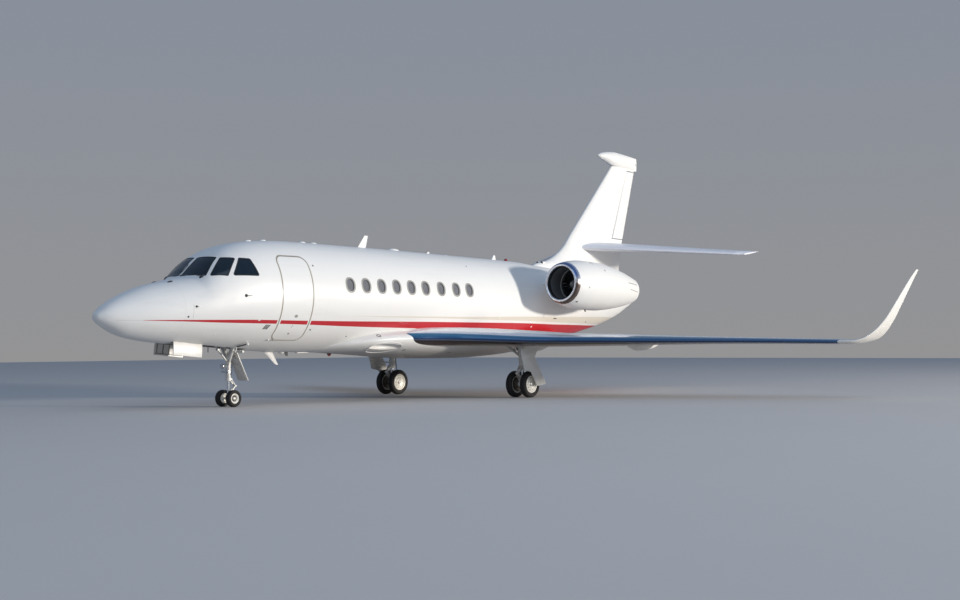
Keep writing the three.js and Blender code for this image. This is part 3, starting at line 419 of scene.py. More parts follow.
# columns: station, height
STRIPE_TOP = [(0.6, 1.833), (0.767, 1.836), (1.2, 1.842), (1.7, 1.847), (2.41, 1.855), (3.34, 1.864),
              (4.5, 1.858), (5.95, 1.86), (8.95, 1.875), (12.3, 1.877), (14.19, 1.86), (17.0, 1.86)]
STRIPE_BOTTOM = [(0.6, 1.831), (0.767, 1.83), (1.2, 1.822), (1.71, 1.813), (2.43, 1.798), (3.37, 1.789),
                 (4.5, 1.776), (6.02, 1.744), (9.06, 1.709), (12.44, 1.683), (13.9, 1.61), (14.15, 1.52),
                 (14.5, 1.30), (17.5, 1.30)]
CREAM_TOP = [(6.0, 1.978), (7.25, 1.987), (8.9, 2.002), (10.5, 2.018), (12.2, 2.045), (14.0, 2.065), (17.5, 2.12)]
CREAM_BOTTOM = [(6.0, 1.976), (7.25, 1.967), (8.9, 1.964), (10.6, 1.951), (12.2, 1.939), (14.1, 1.919),
                (17.5, 1.90)]

DOOR = {"front": 3.900, "back": 4.760, "sill": 1.440, "head": 3.265, "corner": 0.180}
DOOR_HINGE = {"x": 0.752, "z": 1.440, "radius": 0.014}
# radii about the hinge line that the fuselage leaves free: for the swinging edge, the tube and the tube's narrow ends
DOOR_ROOM = {"edge": 0.201, "tube": 0.022, "ends": 0.009}
DOOR_OPEN = 118  # degrees
DOOR_TREADS, TREAD_GRIPS = 4, 7
DOOR_ROUND_TOP = 1.70  # the door's outline runs round its hinge line below this height

# stations of the seams round the hull and the cowl, and of the front edge of the hatch in the nose
HULL_SEAMS = (1.62, 5.2, 7.2, 9.2, 11.2, 13.45, 15.3, 17.0, 18.2, 19.0)
COWL_SEAMS = (13.42, 14.55, 15.20)
HATCH_EDGE = 1.79
# distances of the wing's and the spoilers' seams from the centre plane, and the spoilers' shares of the chord
WING_SEAMS = (1.9, 2.9, 3.9, 5.1, 6.3, 7.5, 8.6)
SPOILER_SEAMS = (2.9, 4.03, 5.17, 6.3)
SPOILER_CHORD = (0.585, 0.70)
FIN_SEAMS = (4.02, 4.62, 5.3, 6.0)  # heights
LIP_CENTRE = (2.1, 2.918)  # distance of an inlet lip's middle from the centre plane, and its height


def scaled(color, factor):
    return tuple(c * factor for c in color)


def paint(name, extra=None, base=WHITE, rough=0.42, coat=0.12):
    """Gloss paint with faint soiling, painted shade that makes it darker and browner towards the bottom, and the slight
    waviness of sprayed skin. extra may change its colour.
    """
    g = Graph(name)
    cloud = g.noise(1.7, 4.0)
    streaks = g.noise(0.30, 5.0, 0.6, stretch=(1.0, 0.14, 1.6))
    soil = g.times(g.remap(streaks, 0.52, 0.80), 0.10)
    # painted shade: darker towards the bottom, where the underside lies in shade
    low = g.times(g.remap(g.z, 1.80, 1.10), 0.20)
    fine = g.noise(0.012, 2.0)
    color = g.tinge(cloud, 0.10, base, scaled(base, 0.86))
    # the brown grey is real soiling along the streaks and painted shade low down
    color = g.mix(g.calc("ADD", soil, low, clamp=True), color, (0.36, 0.33, 0.29))
    if extra:
        color = extra(g, color)
    g.bump(g.noise(0.35, 1.0), 0.0022, 0.22)
    roughness = g.calc("ADD", g.times(streaks, 0.10), g.linear(fine, 0.03, rough - 0.06))
    return g.set(Base_Color=color, Roughness=roughness, Coat_Weight=coat, Coat_Roughness=0.2)


def seam(g, color, value, places, width, strength, where=None):
    """Colours thin seams where value is close to a number in places, only inside the mask where."""
    for at in places:
        mask = g.below(g.size(g.minus(value, at)), width / 2, 0.0012)
        if where is not None:
            mask = g.both(mask, where)
        color = g.tinge(mask, strength, color, SEAM_GREY)
    return color


def door_distance(g):
    """Distance from the door's outline, positive outside. Its height is measured round the hinge line low down."""
    dx, dz = g.minus(g.x, DOOR_HINGE["x"]), g.minus(g.z, DOOR_HINGE["z"])
    low = g.both(g.below(g.z, DOOR_ROUND_TOP, 0.01), g.above(dz, 0.0, 0.01))
    height = g.calc("ADD", g.times(low, g.length(dx, dz)), g.times(g.but_not(low), dz))
    tall, wide, corner = DOOR["head"] - DOOR["sill"], DOOR["back"] - DOOR["front"], DOOR["corner"]
    middle = (DOOR["front"] + DOOR["back"]) / 2
    qx = g.minus(g.size(g.minus(g.station, middle)), wide / 2 - corner)
    qz = g.minus(g.size(g.minus(height, tall / 2)), tall / 2 - corner)
    outer = g.length(g.calc("MAXIMUM", qx, 0.0), g.calc("MAXIMUM", qz, 0.0))
    inner = g.calc("MINIMUM", g.calc("MAXIMUM", qx, qz), 0.0)
    return g.minus(g.calc("ADD", outer, inner), corner)


def stripe(g, top, bottom, start):
    """The part of the side between two tables of heights, behind a station."""
    high, low = (g.curve(g.station, rows, 1.3, 2.2) for rows in (top, bottom))
    return g.both(g.below(g.z, high), g.above(g.z, low), g.above(g.station, start, 0.02))


def livery(g, color):
    """Stripes, the line round the door, the seams of the fuselage and painted shade on the belly's lower side."""
    left = g.above(g.x, 0.2, 0.01)
    door = g.size(door_distance(g))
    clear = g.but_not(g.both(g.below(door, 0.046), left))
    red = g.both(stripe(g, STRIPE_TOP, STRIPE_BOTTOM, 0.80), clear)
    grey = g.both(g.between(g.z, 1.829, 1.835), g.above(g.station, 0.30, 0.01), g.below(g.station, 0.82, 0.02))
    color = g.tinge(grey, 0.5, color, (0.30, 0.30, 0.31))
    color = g.mix(stripe(g, CREAM_TOP, CREAM_BOTTOM, 6.0), color, CREAM)
    color = g.mix(red, color, RED)
    color = seam(g, color, g.station, HULL_SEAMS, 0.003, 0.18)
    hatch = g.both(g.between(g.z, 1.88, 2.17), left)
    color = seam(g, color, g.station, [HATCH_EDGE], 0.006, 0.7, hatch)
    color = g.mix(g.both(g.below(door, 0.019, 0.004), left), color, DOOR_LINE)
    # painted shade: the belly's lower side is darkened towards a brown grey
    under = g.both(g.remap(g.z, 1.30, 1.04), g.between(g.station, 6.0, 14.2, 0.3))
    return g.tinge(under, 0.75, color, (0.33, 0.30, 0.28))


# columns: distance from the centre plane, station of the wing's leading or trailing edge
WING_FRONT = [(1.0, 7.3), (1.48, 8.48), (2.35, 9.76), (3.3, 10.46), (4.2, 10.945), (6.9, 12.4), (9.3, 13.695)]
WING_BACK = [(1.0, 13.12), (1.48, 13.2), (2.35, 13.31), (3.3, 13.48), (4.2, 13.69), (6.9, 14.32), (9.3, 14.88)]
# columns: distance from the centre plane, height of the wing's leading edge, depth of the band of painted blue sky
# reflection over it
EDGE = [(1.0, 1.484, 0.115), (1.48, 1.480, 0.115), (1.9, 1.462, 0.110), (3.3, 1.406, 0.090), (4.9, 1.392, 0.085),
        (5.1, 1.390, 0.200), (6.9, 1.374, 0.200), (9.3, 1.334, 0.200)]


def edge_curve(g, reach, column, low, high):
    return g.curve(reach, [(row[0], row[column]) for row in EDGE], low, high)


def wing_lines(g, color):
    """Panel seams across the wing, the outlines of its spoilers and painted shade on its underside."""
    reach = g.size(g.x)
    color = seam(g, color, reach, WING_SEAMS, 0.004, 0.35)
    under = g.remap(g.minus(g.z, edge_curve(g, reach, 1, 1.3, 1.5)), -0.010, -0.045)
    le = g.curve(reach, WING_FRONT, 7.0, 14.0)
    te = g.curve(reach, WING_BACK, 13.0, 15.0)
    share = g.calc("DIVIDE", g.minus(g.station, le), g.minus(te, le))
    upper = g.but_not(under)
    span = g.between(reach, SPOILER_SEAMS[0], SPOILER_SEAMS[-1])
    panels = g.both(g.between(share, *SPOILER_CHORD), span, upper)
    color = seam(g, color, share, SPOILER_CHORD[:1], 0.0022, 0.6, g.both(upper, span))
    color = seam(g, color, reach, SPOILER_SEAMS, 0.008, 0.6, panels)
    # painted shade: the underside is darkened towards a brown grey
    return g.tinge(under, 0.85, color, (0.29, 0.26, 0.24))


def nacelle_lines(g, color):
    """Seams round the engine cowl."""
    return seam(g, color, g.station, COWL_SEAMS, 0.004, 0.18)


def fin_lines(g, color):
    """Level seams across the fin."""
    return seam(g, color, g.z, FIN_SEAMS, 0.004, 0.35)


def plain_metal(name, color, rough, wear, metallic=1.0):
    """Bare or coated metal with smudges and a fine grain."""
    g = Graph(name)
    smudge = g.noise(0.16, 4.0, 0.6)
    fine = g.noise(0.0025, 3.0, 0.6)
    tint = g.tinge(g.remap(smudge, 0.45, 0.8), 0.35, color, wear)
    g.bump(fine, 0.0004, 0.35)
    roughness = g.linear(smudge, 0.14, rough - 0.05)
    return g.set(Base_Color=tint, Roughness=roughness, Metallic=metallic)


def polished(name, color, rough):
    g = Graph(name)
    streak = g.noise(0.4, 4.0, 0.6, stretch=(0.4, 2.2, 2.2))
    tint = g.tinge(g.remap(streak, 0.4, 0.8), 0.3, color, scaled(color, 0.7))
    g.bump(g.noise(0.25, 1.0), 0.0015, 0.2)
    return g.set(Base_Color=tint, Roughness=g.linear(streak, 0.08, rough), Metallic=1.0)


def leading_edge_metal(name):
    """Polished leading edge, banded along the span with painted reflection: a painted pale highlight on top, painted
    blue sky in front and painted dark ground below.
    """
    g = Graph(name)
    reach = g.size(g.x)
    depth = edge_curve(g, reach, 2, 0.0, 0.25)
    rise = g.minus(g.z, edge_curve(g, reach, 1, 1.3, 1.5))
    streak = g.noise(0.5, 4.0, 0.6, stretch=(0.3, 1.5, 3.0))
    # painted reflections of the sky and the ground, in bands by height over the leading edge
    painted_reflection_bands = [
        (-0.090, 0.030, (0.018, 0.014, 0.016)), (-0.052, 0.012, (0.13, 0.15, 0.20)),
        (-0.036, 0.012, (0.006, 0.034, 0.115)), (0.010, 0.040, (0.022, 0.105, 0.24)),
        (0.060, 0.040, (0.055, 0.17, 0.30)),
    ]
    color = (0.060, 0.034, 0.029)
    for limit, soft, tint in painted_reflection_bands:
        color = g.mix(g.above(rise, limit, soft), color, tint)
    # painted highlight along the top, above the blue band
    color = g.mix(g.above(rise, depth, 0.018), color, (0.72, 0.73, 0.78))
    color = g.tinge(g.remap(streak, 0.45, 0.85), 0.25, color, (0.10, 0.12, 0.15))
    g.bump(g.noise(0.25, 1.0), 0.0015, 0.2)
    return g.set(Base_Color=color, Roughness=g.linear(streak, 0.10, 0.16), Metallic=0.3,
                 Coat_Weight=0.4)


def lip_metal(name):
    """Polished inlet lip with painted reflection: a bright inner ring of painted highlight, and an outer band of
    painted blue sky on top and painted brown ground below.
    """
    g = Graph(name)
    up = g.minus(g.z, LIP_CENTRE[1])
    radius = g.length(g.minus(g.size(g.x), LIP_CENTRE[0]), up)
    turn = g.calc("DIVIDE", up, radius)
    # painted reflection: blue sky on top, brown ground below
    band = g.mix(g.remap(turn, 0.10, 0.42), (0.55, 0.53, 0.55), (0.10, 0.17, 0.38))
    band = g.mix(g.remap(turn, 0.02, -0.08), band, (0.10, 0.072, 0.060))
    # painted reflection on the outer side too: pale sky above, brown ground below
    outer = g.mix(g.remap(turn, 0.0, -0.1), (0.62, 0.66, 0.78), (0.20, 0.16, 0.14))
    band = g.mix(g.above(radius, 0.536, 0.016), band, outer)
    # painted highlight round the inner ring
    color = g.mix(g.below(radius, 0.492, 0.014), band, (0.86, 0.87, 0.90))
    color = g.mix(g.below(radius, 0.432, 0.010), color, (0.10, 0.11, 0.12))
    streak = g.noise(0.2, 4.0, 0.6)
    color = g.tinge(g.remap(streak, 0.45, 0.85), 0.2, color, (0.30, 0.29, 0.28))
    return g.set(Base_Color=color, Roughness=g.linear(streak, 0.08, 0.14), Metallic=0.75)


def winglet_tint(g, color):
    """A faint cream tone towards the winglet's root."""
    return g.mix(g.remap(g.z, 2.6, 1.5, 0.0, 0.35), color, CREAM)


def rubber(name):
    g = Graph(name)
    dust = g.noise(0.05, 4.0, 0.65)
    fine = g.noise(0.004, 3.0, 0.7)
    color = g.tinge(g.remap(dust, 0.45, 0.85), 0.5, (0.012, 0.011, 0.011), (0.050, 0.045, 0.040))
    g.bump(fine, 0.0006, 0.5)
    return g.set(Base_Color=color, Roughness=g.linear(dust, 0.2, 0.66))


def glass(name, tint, rough=0.03, clear=0.6, coat=0.5):
    """Tinted acrylic with faint smears."""
    g = Graph(name)
    smear = g.noise(0.3, 4.0, 0.6, stretch=(1, 1, 3))
    color = g.tinge(g.remap(smear, 0.4, 0.8), 0.3, tint, tuple(c * 1.6 + 0.01 for c in tint))
    g.bump(g.noise(0.6, 1.0), 0.002, 0.15)
    roughness = g.linear(smear, 0.04, rough)
    return g.set(Base_Color=color, Roughness=roughness, Transmission_Weight=clear, IOR=1.45, Coat_Weight=coat)


def cloth(name, color, size=0.004, rough=0.85):
    """Carpet, leather or lining inside the cabin."""
    g = Graph(name)
    weave = g.noise(size, 2.0, 0.7)
    patch = g.noise(0.4, 3.0)
    tint = g.tinge(weave, 0.5, color, scaled(color, 0.6))
    tint = g.tinge(patch, 0.25, tint, scaled(color, 1.15))
    g.bump(weave, 0.0012, 0.6)
    return g.set(Base_Color=tint, Roughness=g.linear(patch, 0.1, rough - 0.05))


M = {
    "fuselage": paint("fuselage_paint", livery),
    "white": paint("white_paint"),
    "wing": paint("wing_paint", wing_lines),
    "nacelle": paint("nacelle_paint", nacelle_lines),
    "fin": paint("fin_paint", fin_lines),
    "spinner": plain_metal("spinner_grey", (0.42, 0.43, 0.44), 0.38, metallic=0.2, wear=(0.28, 0.28, 0.28)),
    "gear_door": paint("gear_door_paint", base=(0.76, 0.75, 0.72), rough=0.3),
    "windscreen": glass("windscreen_glass", (0.020, 0.045, 0.075), clear=0.70, coat=0.0),
    "cabin_glass": glass("cabin_glass", (0.190, 0.190, 0.205), 0.12, clear=0.10),
    "tyre": rubber("tyre_rubber"),
    "rim": plain_metal("wheel_alloy", (0.84, 0.81, 0.74), 0.40, metallic=0.15, wear=(0.42, 0.37, 0.31)),
    "lip": lip_metal("bare_metal_lip"),
    "slat": leading_edge_metal("polished_slat"),
    "winglet": paint("winglet_paint", winglet_tint),
    # bluish white: painted sky-lit shade on the tailplane and the elevators
    "tail": paint("tail_paint", base=(0.78, 0.79, 0.85)),
    "beacon": glass("beacon_red", (0.45, 0.012, 0.010), 0.08, 0.3),
    "fan": plain_metal("fan_titanium", (0.10, 0.10, 0.11), 0.30, wear=(0.05, 0.05, 0.05)),
    "engine": plain_metal("engine_dark", (0.035, 0.034, 0.035), 0.5, metallic=0.4, wear=(0.02, 0.02, 0.02)),
    "cabin": cloth("cabin_interior", (0.28, 0.25, 0.21)),
    "panel": cloth("panel_dark", (0.035, 0.036, 0.040), 0.010, 0.6),
    "gear": plain_metal("gear_paint", (0.70, 0.69, 0.66), 0.34, metallic=0.15, wear=(0.34, 0.31, 0.27)),
    "steel": plain_metal("gear_steel", (0.62, 0.63, 0.65), 0.22, wear=(0.35, 0.34, 0.32)),
    "rubber_seal": rubber("seal_rubber"),
    "burnt": plain_metal("burnt_steel", (0.30, 0.27, 0.24), 0.38, wear=(0.12, 0.09, 0.07)),
    "bezel": paint("window_bezel_paint", base=(0.33, 0.32, 0.295), rough=0.4, coat=0.1),
    "chrome": polished("chromed_steel", (0.75, 0.76, 0.78), 0.08),
    "primer": paint("bay_primer", base=(0.21, 0.20, 0.17), rough=0.5, coat=0.1),
    "duct": paint("inlet_duct_grey", base=(0.13, 0.135, 0.14), rough=0.42, coat=0.2),
    "lamp": glass("lamp_glass", (0.80, 0.82, 0.80), 0.04, 0.3),
    "leather": cloth("crew_leather", (0.10, 0.085, 0.07), 0.012, 0.55),
    "screen": glass("screen_glass", (0.020, 0.026, 0.034), 0.06, clear=0.0),
}


# ---- fuselage

# columns: station, crown height, keel height, height of the widest line, half width, fullness of the upper half
FUSELAGE = [
    (0.0, 1.935, 1.865, 1.900, 0.035, 2), (0.06, 2.020, 1.790, 1.903, 0.135, 2),
    (0.25, 2.165, 1.675, 1.910, 0.285, 2), (0.6, 2.350, 1.520, 1.930, 0.455, 2),
    (1.1, 2.540, 1.425, 1.980, 0.650, 2), (1.62, 2.665, 1.370, 2.045, 0.810, 2.1),
    (2.06, 2.780, 1.335, 2.110, 0.925, 2.25), (2.29, 2.990, 1.315, 2.160, 0.975, 2.32),
    (2.52, 3.185, 1.300, 2.205, 1.020, 2.42), (2.9, 3.395, 1.270, 2.265, 1.090, 2.4),
    (3.4, 3.540, 1.235, 2.330, 1.160, 2.3), (3.965, 3.620, 1.205, 2.380, 1.210, 2.15),
    (4.6, 3.660, 1.180, 2.410, 1.240, 2.05), (5.2, 3.670, 1.170, 2.420, 1.250, 2),
    (8.0, 3.655, 1.170, 2.420, 1.250, 2), (11.2, 3.615, 1.170, 2.420, 1.250, 2),
    (12.2, 3.600, 1.180, 2.430, 1.245, 2), (13.2, 3.580, 1.220, 2.470, 1.200, 2),
    (14.2, 3.510, 1.310, 2.550, 1.105, 2), (15.2, 3.470, 1.460, 2.650, 0.970, 2),
    (16.2, 3.450, 1.655, 2.745, 0.810, 2), (17.2, 3.430, 1.850, 2.840, 0.635, 2),
    (18.2, 3.390, 2.130, 2.915, 0.450, 2), (19.0, 3.310, 2.460, 2.945, 0.285, 2),
    (19.4, 3.220, 2.650, 2.950, 0.190, 2),
]
RADOME_END, FRONT_END, CENTRE_END, TAIL_END = 1.62, 5.2, 11.2, 19.4
CABIN_FRONT = 1.98
CABIN_BOTTOM = 1.65
WALL = 0.088
SKIN_DEPTH = 0.03  # faces of the wall deeper than this belong to the cabin
GLASS = 0.020
HULL_SIDES = 96
TIP_END = 0.06
FRONT_STEP, CENTRE_STEP, TAIL_STEP = 0.05, 0.5, 0.16  # distances between the hull's rings
NUDGE = 2e-4  # step over which the slope of a surface is measured

hull_at = table_curves(FUSELAGE, key=np.sqrt)


def hull_ring(s, inset):
    """A ring of the skin's points, or of points at a depth under it."""
    crown, keel, waist, half, fullness = hull_at(s)
    a = np.arange(HULL_SIDES) * TAU / HULL_SIDES
    power = np.where(np.sin(a) > 1e-9, 2 / fullness, 1.0)
    out = np.sign(np.cos(a)) * np.abs(np.cos(a)) ** power
    rise = np.sign(np.sin(a)) * np.abs(np.sin(a)) ** power
    height = np.where(rise > 0, crown - waist, waist - keel) - inset
    y = np.full(HULL_SIDES, NOSE + s)
    return np.stack([(half - inset) * out, y, waist + rise * height], axis=1)


def hull_stations(s0, s1):
    """Stations of a stretch of the fuselage, close together where its shape changes."""
    marks = [s0]
    while marks[-1] < s1 - 1e-6:
        s = marks[-1]
        if s < TIP_END:
            step = 0.2 * math.sqrt(s) + 0.003
        else:
            step = FRONT_STEP if s < FRONT_END else CENTRE_STEP if s < CENTRE_END else TAIL_STEP
        marks.append(min(s + step, s1))
    if marks[-1] - marks[-2] < 0.01:
        del marks[-2]
    return marks


def hull(name, s0, s1, inset=0.0):
    return loft(name, [hull_ring(s, inset) for s in hull_stations(s0, s1)])


def hull_shell(name, s0, s1, outer, inner):
    """A layer of the fuselage's wall between two depths under the skin."""
    stations = hull_stations(s0, s1)
    rings = [hull_ring(s, outer) for s in stations]
    rings += [hull_ring(s, inner) for s in reversed(stations)]
    return loft(name, rings, closed=True)


def hull_value(points):
    """Signed size of points against the skin: 0 on it, positive outside, about in metres."""
    crown, keel, waist, half, fullness = hull_at(points[:, 1] - NOSE)
    rise = points[:, 2] - waist
    power = np.where(rise > 0, fullness, 2.0)
    height = np.where(rise > 0, crown - waist, waist - keel)
    share = (np.abs(points[:, 0]) / half) ** power + (np.abs(rise) / height) ** power
    return (share ** (1 / power) - 1) * np.minimum(half, height)


def surface_frame(value, at):
    """A frame at a point of a surface: X forward, Y outward, Z up."""
    at = np.array([at])
    normal = Vector([float((value(at + m) - value(at - m))[0]) for m in np.eye(3) * NUDGE]).normalized()
    forward = Vector((0, -1, 0))
    forward = (forward - normal * forward.dot(normal)).normalized()
    axes = Matrix((forward, normal, forward.cross(normal))).transposed().to_4x4()
    return Matrix.Translation(at[0].tolist()) @ axes


def skin_normals(obj, value=hull_value):
    """Gives the corners that lie on the skin the skin's own normals, so that cut edges don't mark its gloss."""
    mesh = obj.data
    co = np.empty(len(mesh.vertices) * 3)
    mesh.vertices.foreach_get("co", co)
    co = co.reshape(-1, 3)
    gradient = np.stack([value(co + move) - value(co - move) for move in np.eye(3) * NUDGE], axis=1)
    length = np.maximum(np.linalg.norm(gradient, axis=1), 1e-12)
    depth = value(co) * 2 * NUDGE / length
    gradient /= length[:, None]
    normals = np.empty(len(mesh.loops) * 3)
    mesh.corner_normals.foreach_get("vector", normals)
    normals = normals.reshape(-1, 3)
    corner = np.empty(len(mesh.loops), dtype=np.int32)
    mesh.loops.foreach_get("vertex_index", corner)
    totals = np.array([len(p.vertices) for p in mesh.polygons])
    faces = np.repeat(np.array([p.normal[:] for p in mesh.polygons]), totals, axis=0)
    along = np.einsum("ij,ij->i", faces, gradient[corner])
    chosen = (np.abs(depth[corner]) < 0.004) & (along > 0.9)
    normals[chosen] = gradient[corner][chosen]
    mesh.normals_split_custom_set(normals.tolist())


# corners of each pane on the left, as station-based points (x, s, z)
WINDSCREEN = [(0.062, 2.053, 2.778), (0.066, 2.518, 3.184), (0.517, 2.640, 3.168), (0.661, 2.243, 2.780)]
SIDE_WINDOWS = [
    [(0.739, 2.305, 2.776), (0.591, 2.688, 3.161), (0.774, 2.920, 3.159), (0.928, 2.614, 2.779)],
    [(0.963, 2.737, 2.790), (0.801, 3.012, 3.162), (0.878, 3.237, 3.152), (1.087, 3.326, 2.800)],
]
WINDOW_STATIONS = [5.915, 6.422, 6.930, 7.438, 7.946, 8.454, 9.018, 9.582, 10.090]
WINDOW_Z, WINDOW_WIDTH, WINDOW_HEIGHT = 2.675, 0.290, 0.345
WINDOW_POWER = 2 / 2.35  # shapes a cabin window between an ellipse and a rectangle
PANE_CORNER = 0.022
PANE_DEPTH = 0.0035
GLAZED = (1.99, 3.6)  # stations between which the cockpit's panes lie


def pane_prism(name, corners, grow, side=1):
    """A solid across the wall where a pane is, with rounded corners, grown by a margin."""
    points = [Vector((side * x, NOSE + s, z)) for x, s, z in corners]
    centre = sum(points, Vector()) / len(points)
    normal = (points[2] - points[0]).cross(points[3] - points[1]).normalized()
    along = (points[1] - points[0]).normalized()
    along = (along - normal * along.dot(normal)).normalized()
    across = normal.cross(along)
    flat = [Vector(((p - centre).dot(along), (p - centre).dot(across))) for p in points]
    outline = []
    for i, p in enumerate(flat):
        a, b = (flat[i - 1] - p).normalized(), (flat[(i + 1) % 4] - p).normalized()
        half = math.acos(max(-1, min(1, a.dot(b)))) / 2
        middle = p + (a + b).normalized() * PANE_CORNER / math.sin(half)
        starts = [p + a * PANE_CORNER / math.tan(half), p + b * PANE_CORNER / math.tan(half)]
        angles = [math.atan2(q.y - middle.y, q.x - middle.x) for q in starts]
        sweep = (angles[1] - angles[0] + math.pi) % TAU - math.pi
        for k in range(7):
            angle = angles[0] + sweep * k / 6
            outline.append(middle + Vector((math.cos(angle), math.sin(angle))) * (PANE_CORNER + grow))
    if (flat[1] - flat[0]).cross(flat[2] - flat[1]) <= 0:
        outline.reverse()
    return loft(name, [[centre + along * q.x + across * q.y + normal * d for q in outline] for d in (-0.24, 0.24)])


def oval(station, grow, side, rise_grow=None):
    """A solid across the wall where a cabin window is. rise_grow is its growth in height, where it differs."""
    rise_grow = grow if rise_grow is None else rise_grow
    outline = []
    for k in range(40):
        a = TAU * k / 40
        c, s = math.cos(a), math.sin(a)
        along = (WINDOW_WIDTH / 2 + grow) * math.copysign(abs(c) ** WINDOW_POWER, c)
        rise = (WINDOW_HEIGHT / 2 + rise_grow) * math.copysign(abs(s) ** WINDOW_POWER, s)
        outline.append((NOSE + station + along, WINDOW_Z + rise))
    return prism("oval", outline, side * 0.9, side * 1.5)


def door_prism(name, grow, x0=0.0, x1=2.0):
    """The passenger door's outline through the wall, with its lower corners left square."""
    y0, y1 = NOSE + DOOR["front"] - grow, NOSE + DOOR["back"] + grow
    z0, z1 = DOOR["sill"] - grow, DOOR["head"] + grow
    corner = DOOR["corner"]
    outline = [(y0, z0), (y1, z0)]
    for y, first in ((y1 - corner, 0), (y0 + corner, 90)):
        for k in range(9):
            a = math.radians(first + 90 * k / 8)
            outline.append((y + corner * math.cos(a), z1 - corner + corner * math.sin(a)))
    return prism(name, outline, x0, x1)


def about_door_hinge(name, profile, sides=48):
    return turned(name, profile, sides, Matrix.Translation((DOOR_HINGE["x"], 0, DOOR_HINGE["z"])))


def door_corner_rings(grow):
    """Rings about the door's hinge line that round its lower corners, so that they clear as it swings."""
    corner = DOOR["corner"]
    arc = []
    for k in range(9):
        a = math.radians(11.25 * k)
        arc.append((corner - (corner + grow) * math.sin(a), corner - (corner + grow) * math.cos(a)))
    profile = [(corner, 0)] + [p for p in arc if p[1] > 0.00001] + [(-0.06, corner), (-0.06, 0)]
    front = [(NOSE + DOOR["front"] + y, r) for y, r in profile]
    back = [(NOSE + DOOR["back"] - y, r) for y, r in profile]
    return [about_door_hinge("corner", rows) for rows in (front, back)]


def line_cabin(panel):
    """Gives the faces of a hull panel that lie deeper than its skin the cabin's finish."""
    mesh = panel.data
    mesh.materials.append(M["cabin"])
    centres = np.array([p.center[:] for p in mesh.polygons])
    mesh.polygons.foreach_set("material_index", (hull_value(centres) < -SKIN_DEPTH).astype(np.int32))


def cabin_space(s0, s1):
    """The inside of the wall between two stations, down to the cabin's bottom."""
    return boolean(hull("space", s0, s1, WALL), [box("low", -2, 2, NOSE, 3, 0.5, CABIN_BOTTOM)])


def build_radome():
    radome = hull("radome_skin", 0.0004, RADOME_END - SEAT)
    dress(radome, "fuselage", "radome_paint", nodes=["radome"])
    skin_normals(radome)


def build_front():
    """The front fuselage, with its windows, the doorway, the nose bay and the lugs of the door's hinge."""
    panes = [WINDSCREEN, *SIDE_WINDOWS]
    front = hull("fuselage_front_skin", RADOME_END, FRONT_END - SEAT)
    cuts = [cabin_space(CABIN_FRONT, FRONT_END + 0.1)]
    cuts += [pane_prism("opening", corners, 0.0, side) for corners in panes for side in (1, -1)]
    passage = door_prism("passage", 0.0, DOOR_HINGE["x"] - 0.06, 2.0)
    boolean(passage, [box("low", -2, 2, NOSE, 0, 0.5, CABIN_BOTTOM)])
    wall = door_prism("wall", 0.0)
    boolean(wall, [hull("inside", 3.5, 5.0, WALL + RUN)])
    hinge_y0, hinge_y1 = NOSE + DOOR["front"], NOSE + DOOR["back"]
    edge, tube, ends = DOOR_ROOM["edge"], DOOR_ROOM["tube"], DOOR_ROOM["ends"]
    swept = about_door_hinge("swept", [(hinge_y0, 0), (hinge_y0, edge), (hinge_y1, edge), (hinge_y1, 0)])
    boolean(swept, [box("low", -2, 2, NOSE, 0, 0.5, DOOR_HINGE["z"]), box("in", -2, 0, NOSE, 0, 0, 4)])
    for part in (passage, wall, swept):
        boolean(part, door_corner_rings(0.0))
    flat_y0, flat_y1 = hinge_y0 + DOOR["corner"] / 2, hinge_y1 - DOOR["corner"] / 2
    rows = [(hinge_y0, 0), (hinge_y0, ends), (flat_y0, ends), (flat_y0, tube)]
    rows += [(flat_y1, tube), (flat_y1, ends), (hinge_y1, ends), (hinge_y1, 0)]
    groove = about_door_hinge("groove", rows)
    bay = box("bay", -BAY["half"], BAY["half"], NOSE + BAY["front"], NOSE + BAY["back"], 0.9, BAY["roof"])
    cuts += [passage, wall, swept, groove, bay]
    for side in (1, -1):
        x0, x1 = sorted((side * (BAY["half"] - 0.001), side * (BAY_DOOR["hingeX"] + 0.022)))
        y0, y1 = NOSE + BAY_DOOR["front"] - RUN, NOSE + BAY_DOOR["back"] + RUN
        low = [(y0, 1.0), (y1, 1.0), (y1, BAY_DOOR["backZ"]), (y0, BAY_DOOR["frontZ"])]
        cuts.append(prism("slot", low, x0, x1))
        cuts.append(rod("slot", bay_hinge(side, RUN), 0.022, 24))
    boolean(front, cuts)
    dress(front, "fuselage", "fuselage_paint", nodes=["fuselage_front"])
    skin_normals(front)
    line_cabin(front)
    x, z, lug, lugs = DOOR_HINGE["x"], DOOR_HINGE["z"], 0.038, []
    for y in (NOSE + DOOR["front"] - 0.003, NOSE + DOOR["back"] + 0.003 + lug):
        rows = [(y - lug, 0.0085), (y - lug, 0.0132), (y - lug + 0.002, 0.014)]
        rows += [(y - 0.002, 0.014), (y, 0.0132), (y, 0.0085)]
        lugs.append(about_door_hinge("lug", rows))
        lugs.append(box("web", x - 0.06, x - 0.012, y - lug, y, z - 0.01, z + 0.01))
    put("door_hinge_lugs", lugs, "white", "gear_steel")


def build_centre():
    centre = hull("fuselage_centre_skin", FRONT_END, CENTRE_END - SEAT)
    windows = [oval(station, 0.0, side) for station in WINDOW_STATIONS for side in (1, -1)]
    boolean(centre, [cabin_space(FRONT_END - 0.1, CENTRE_END + 0.1), *windows])
    dress(centre, "fuselage", "fuselage_paint", nodes=["fuselage_centre"])
    skin_normals(centre)


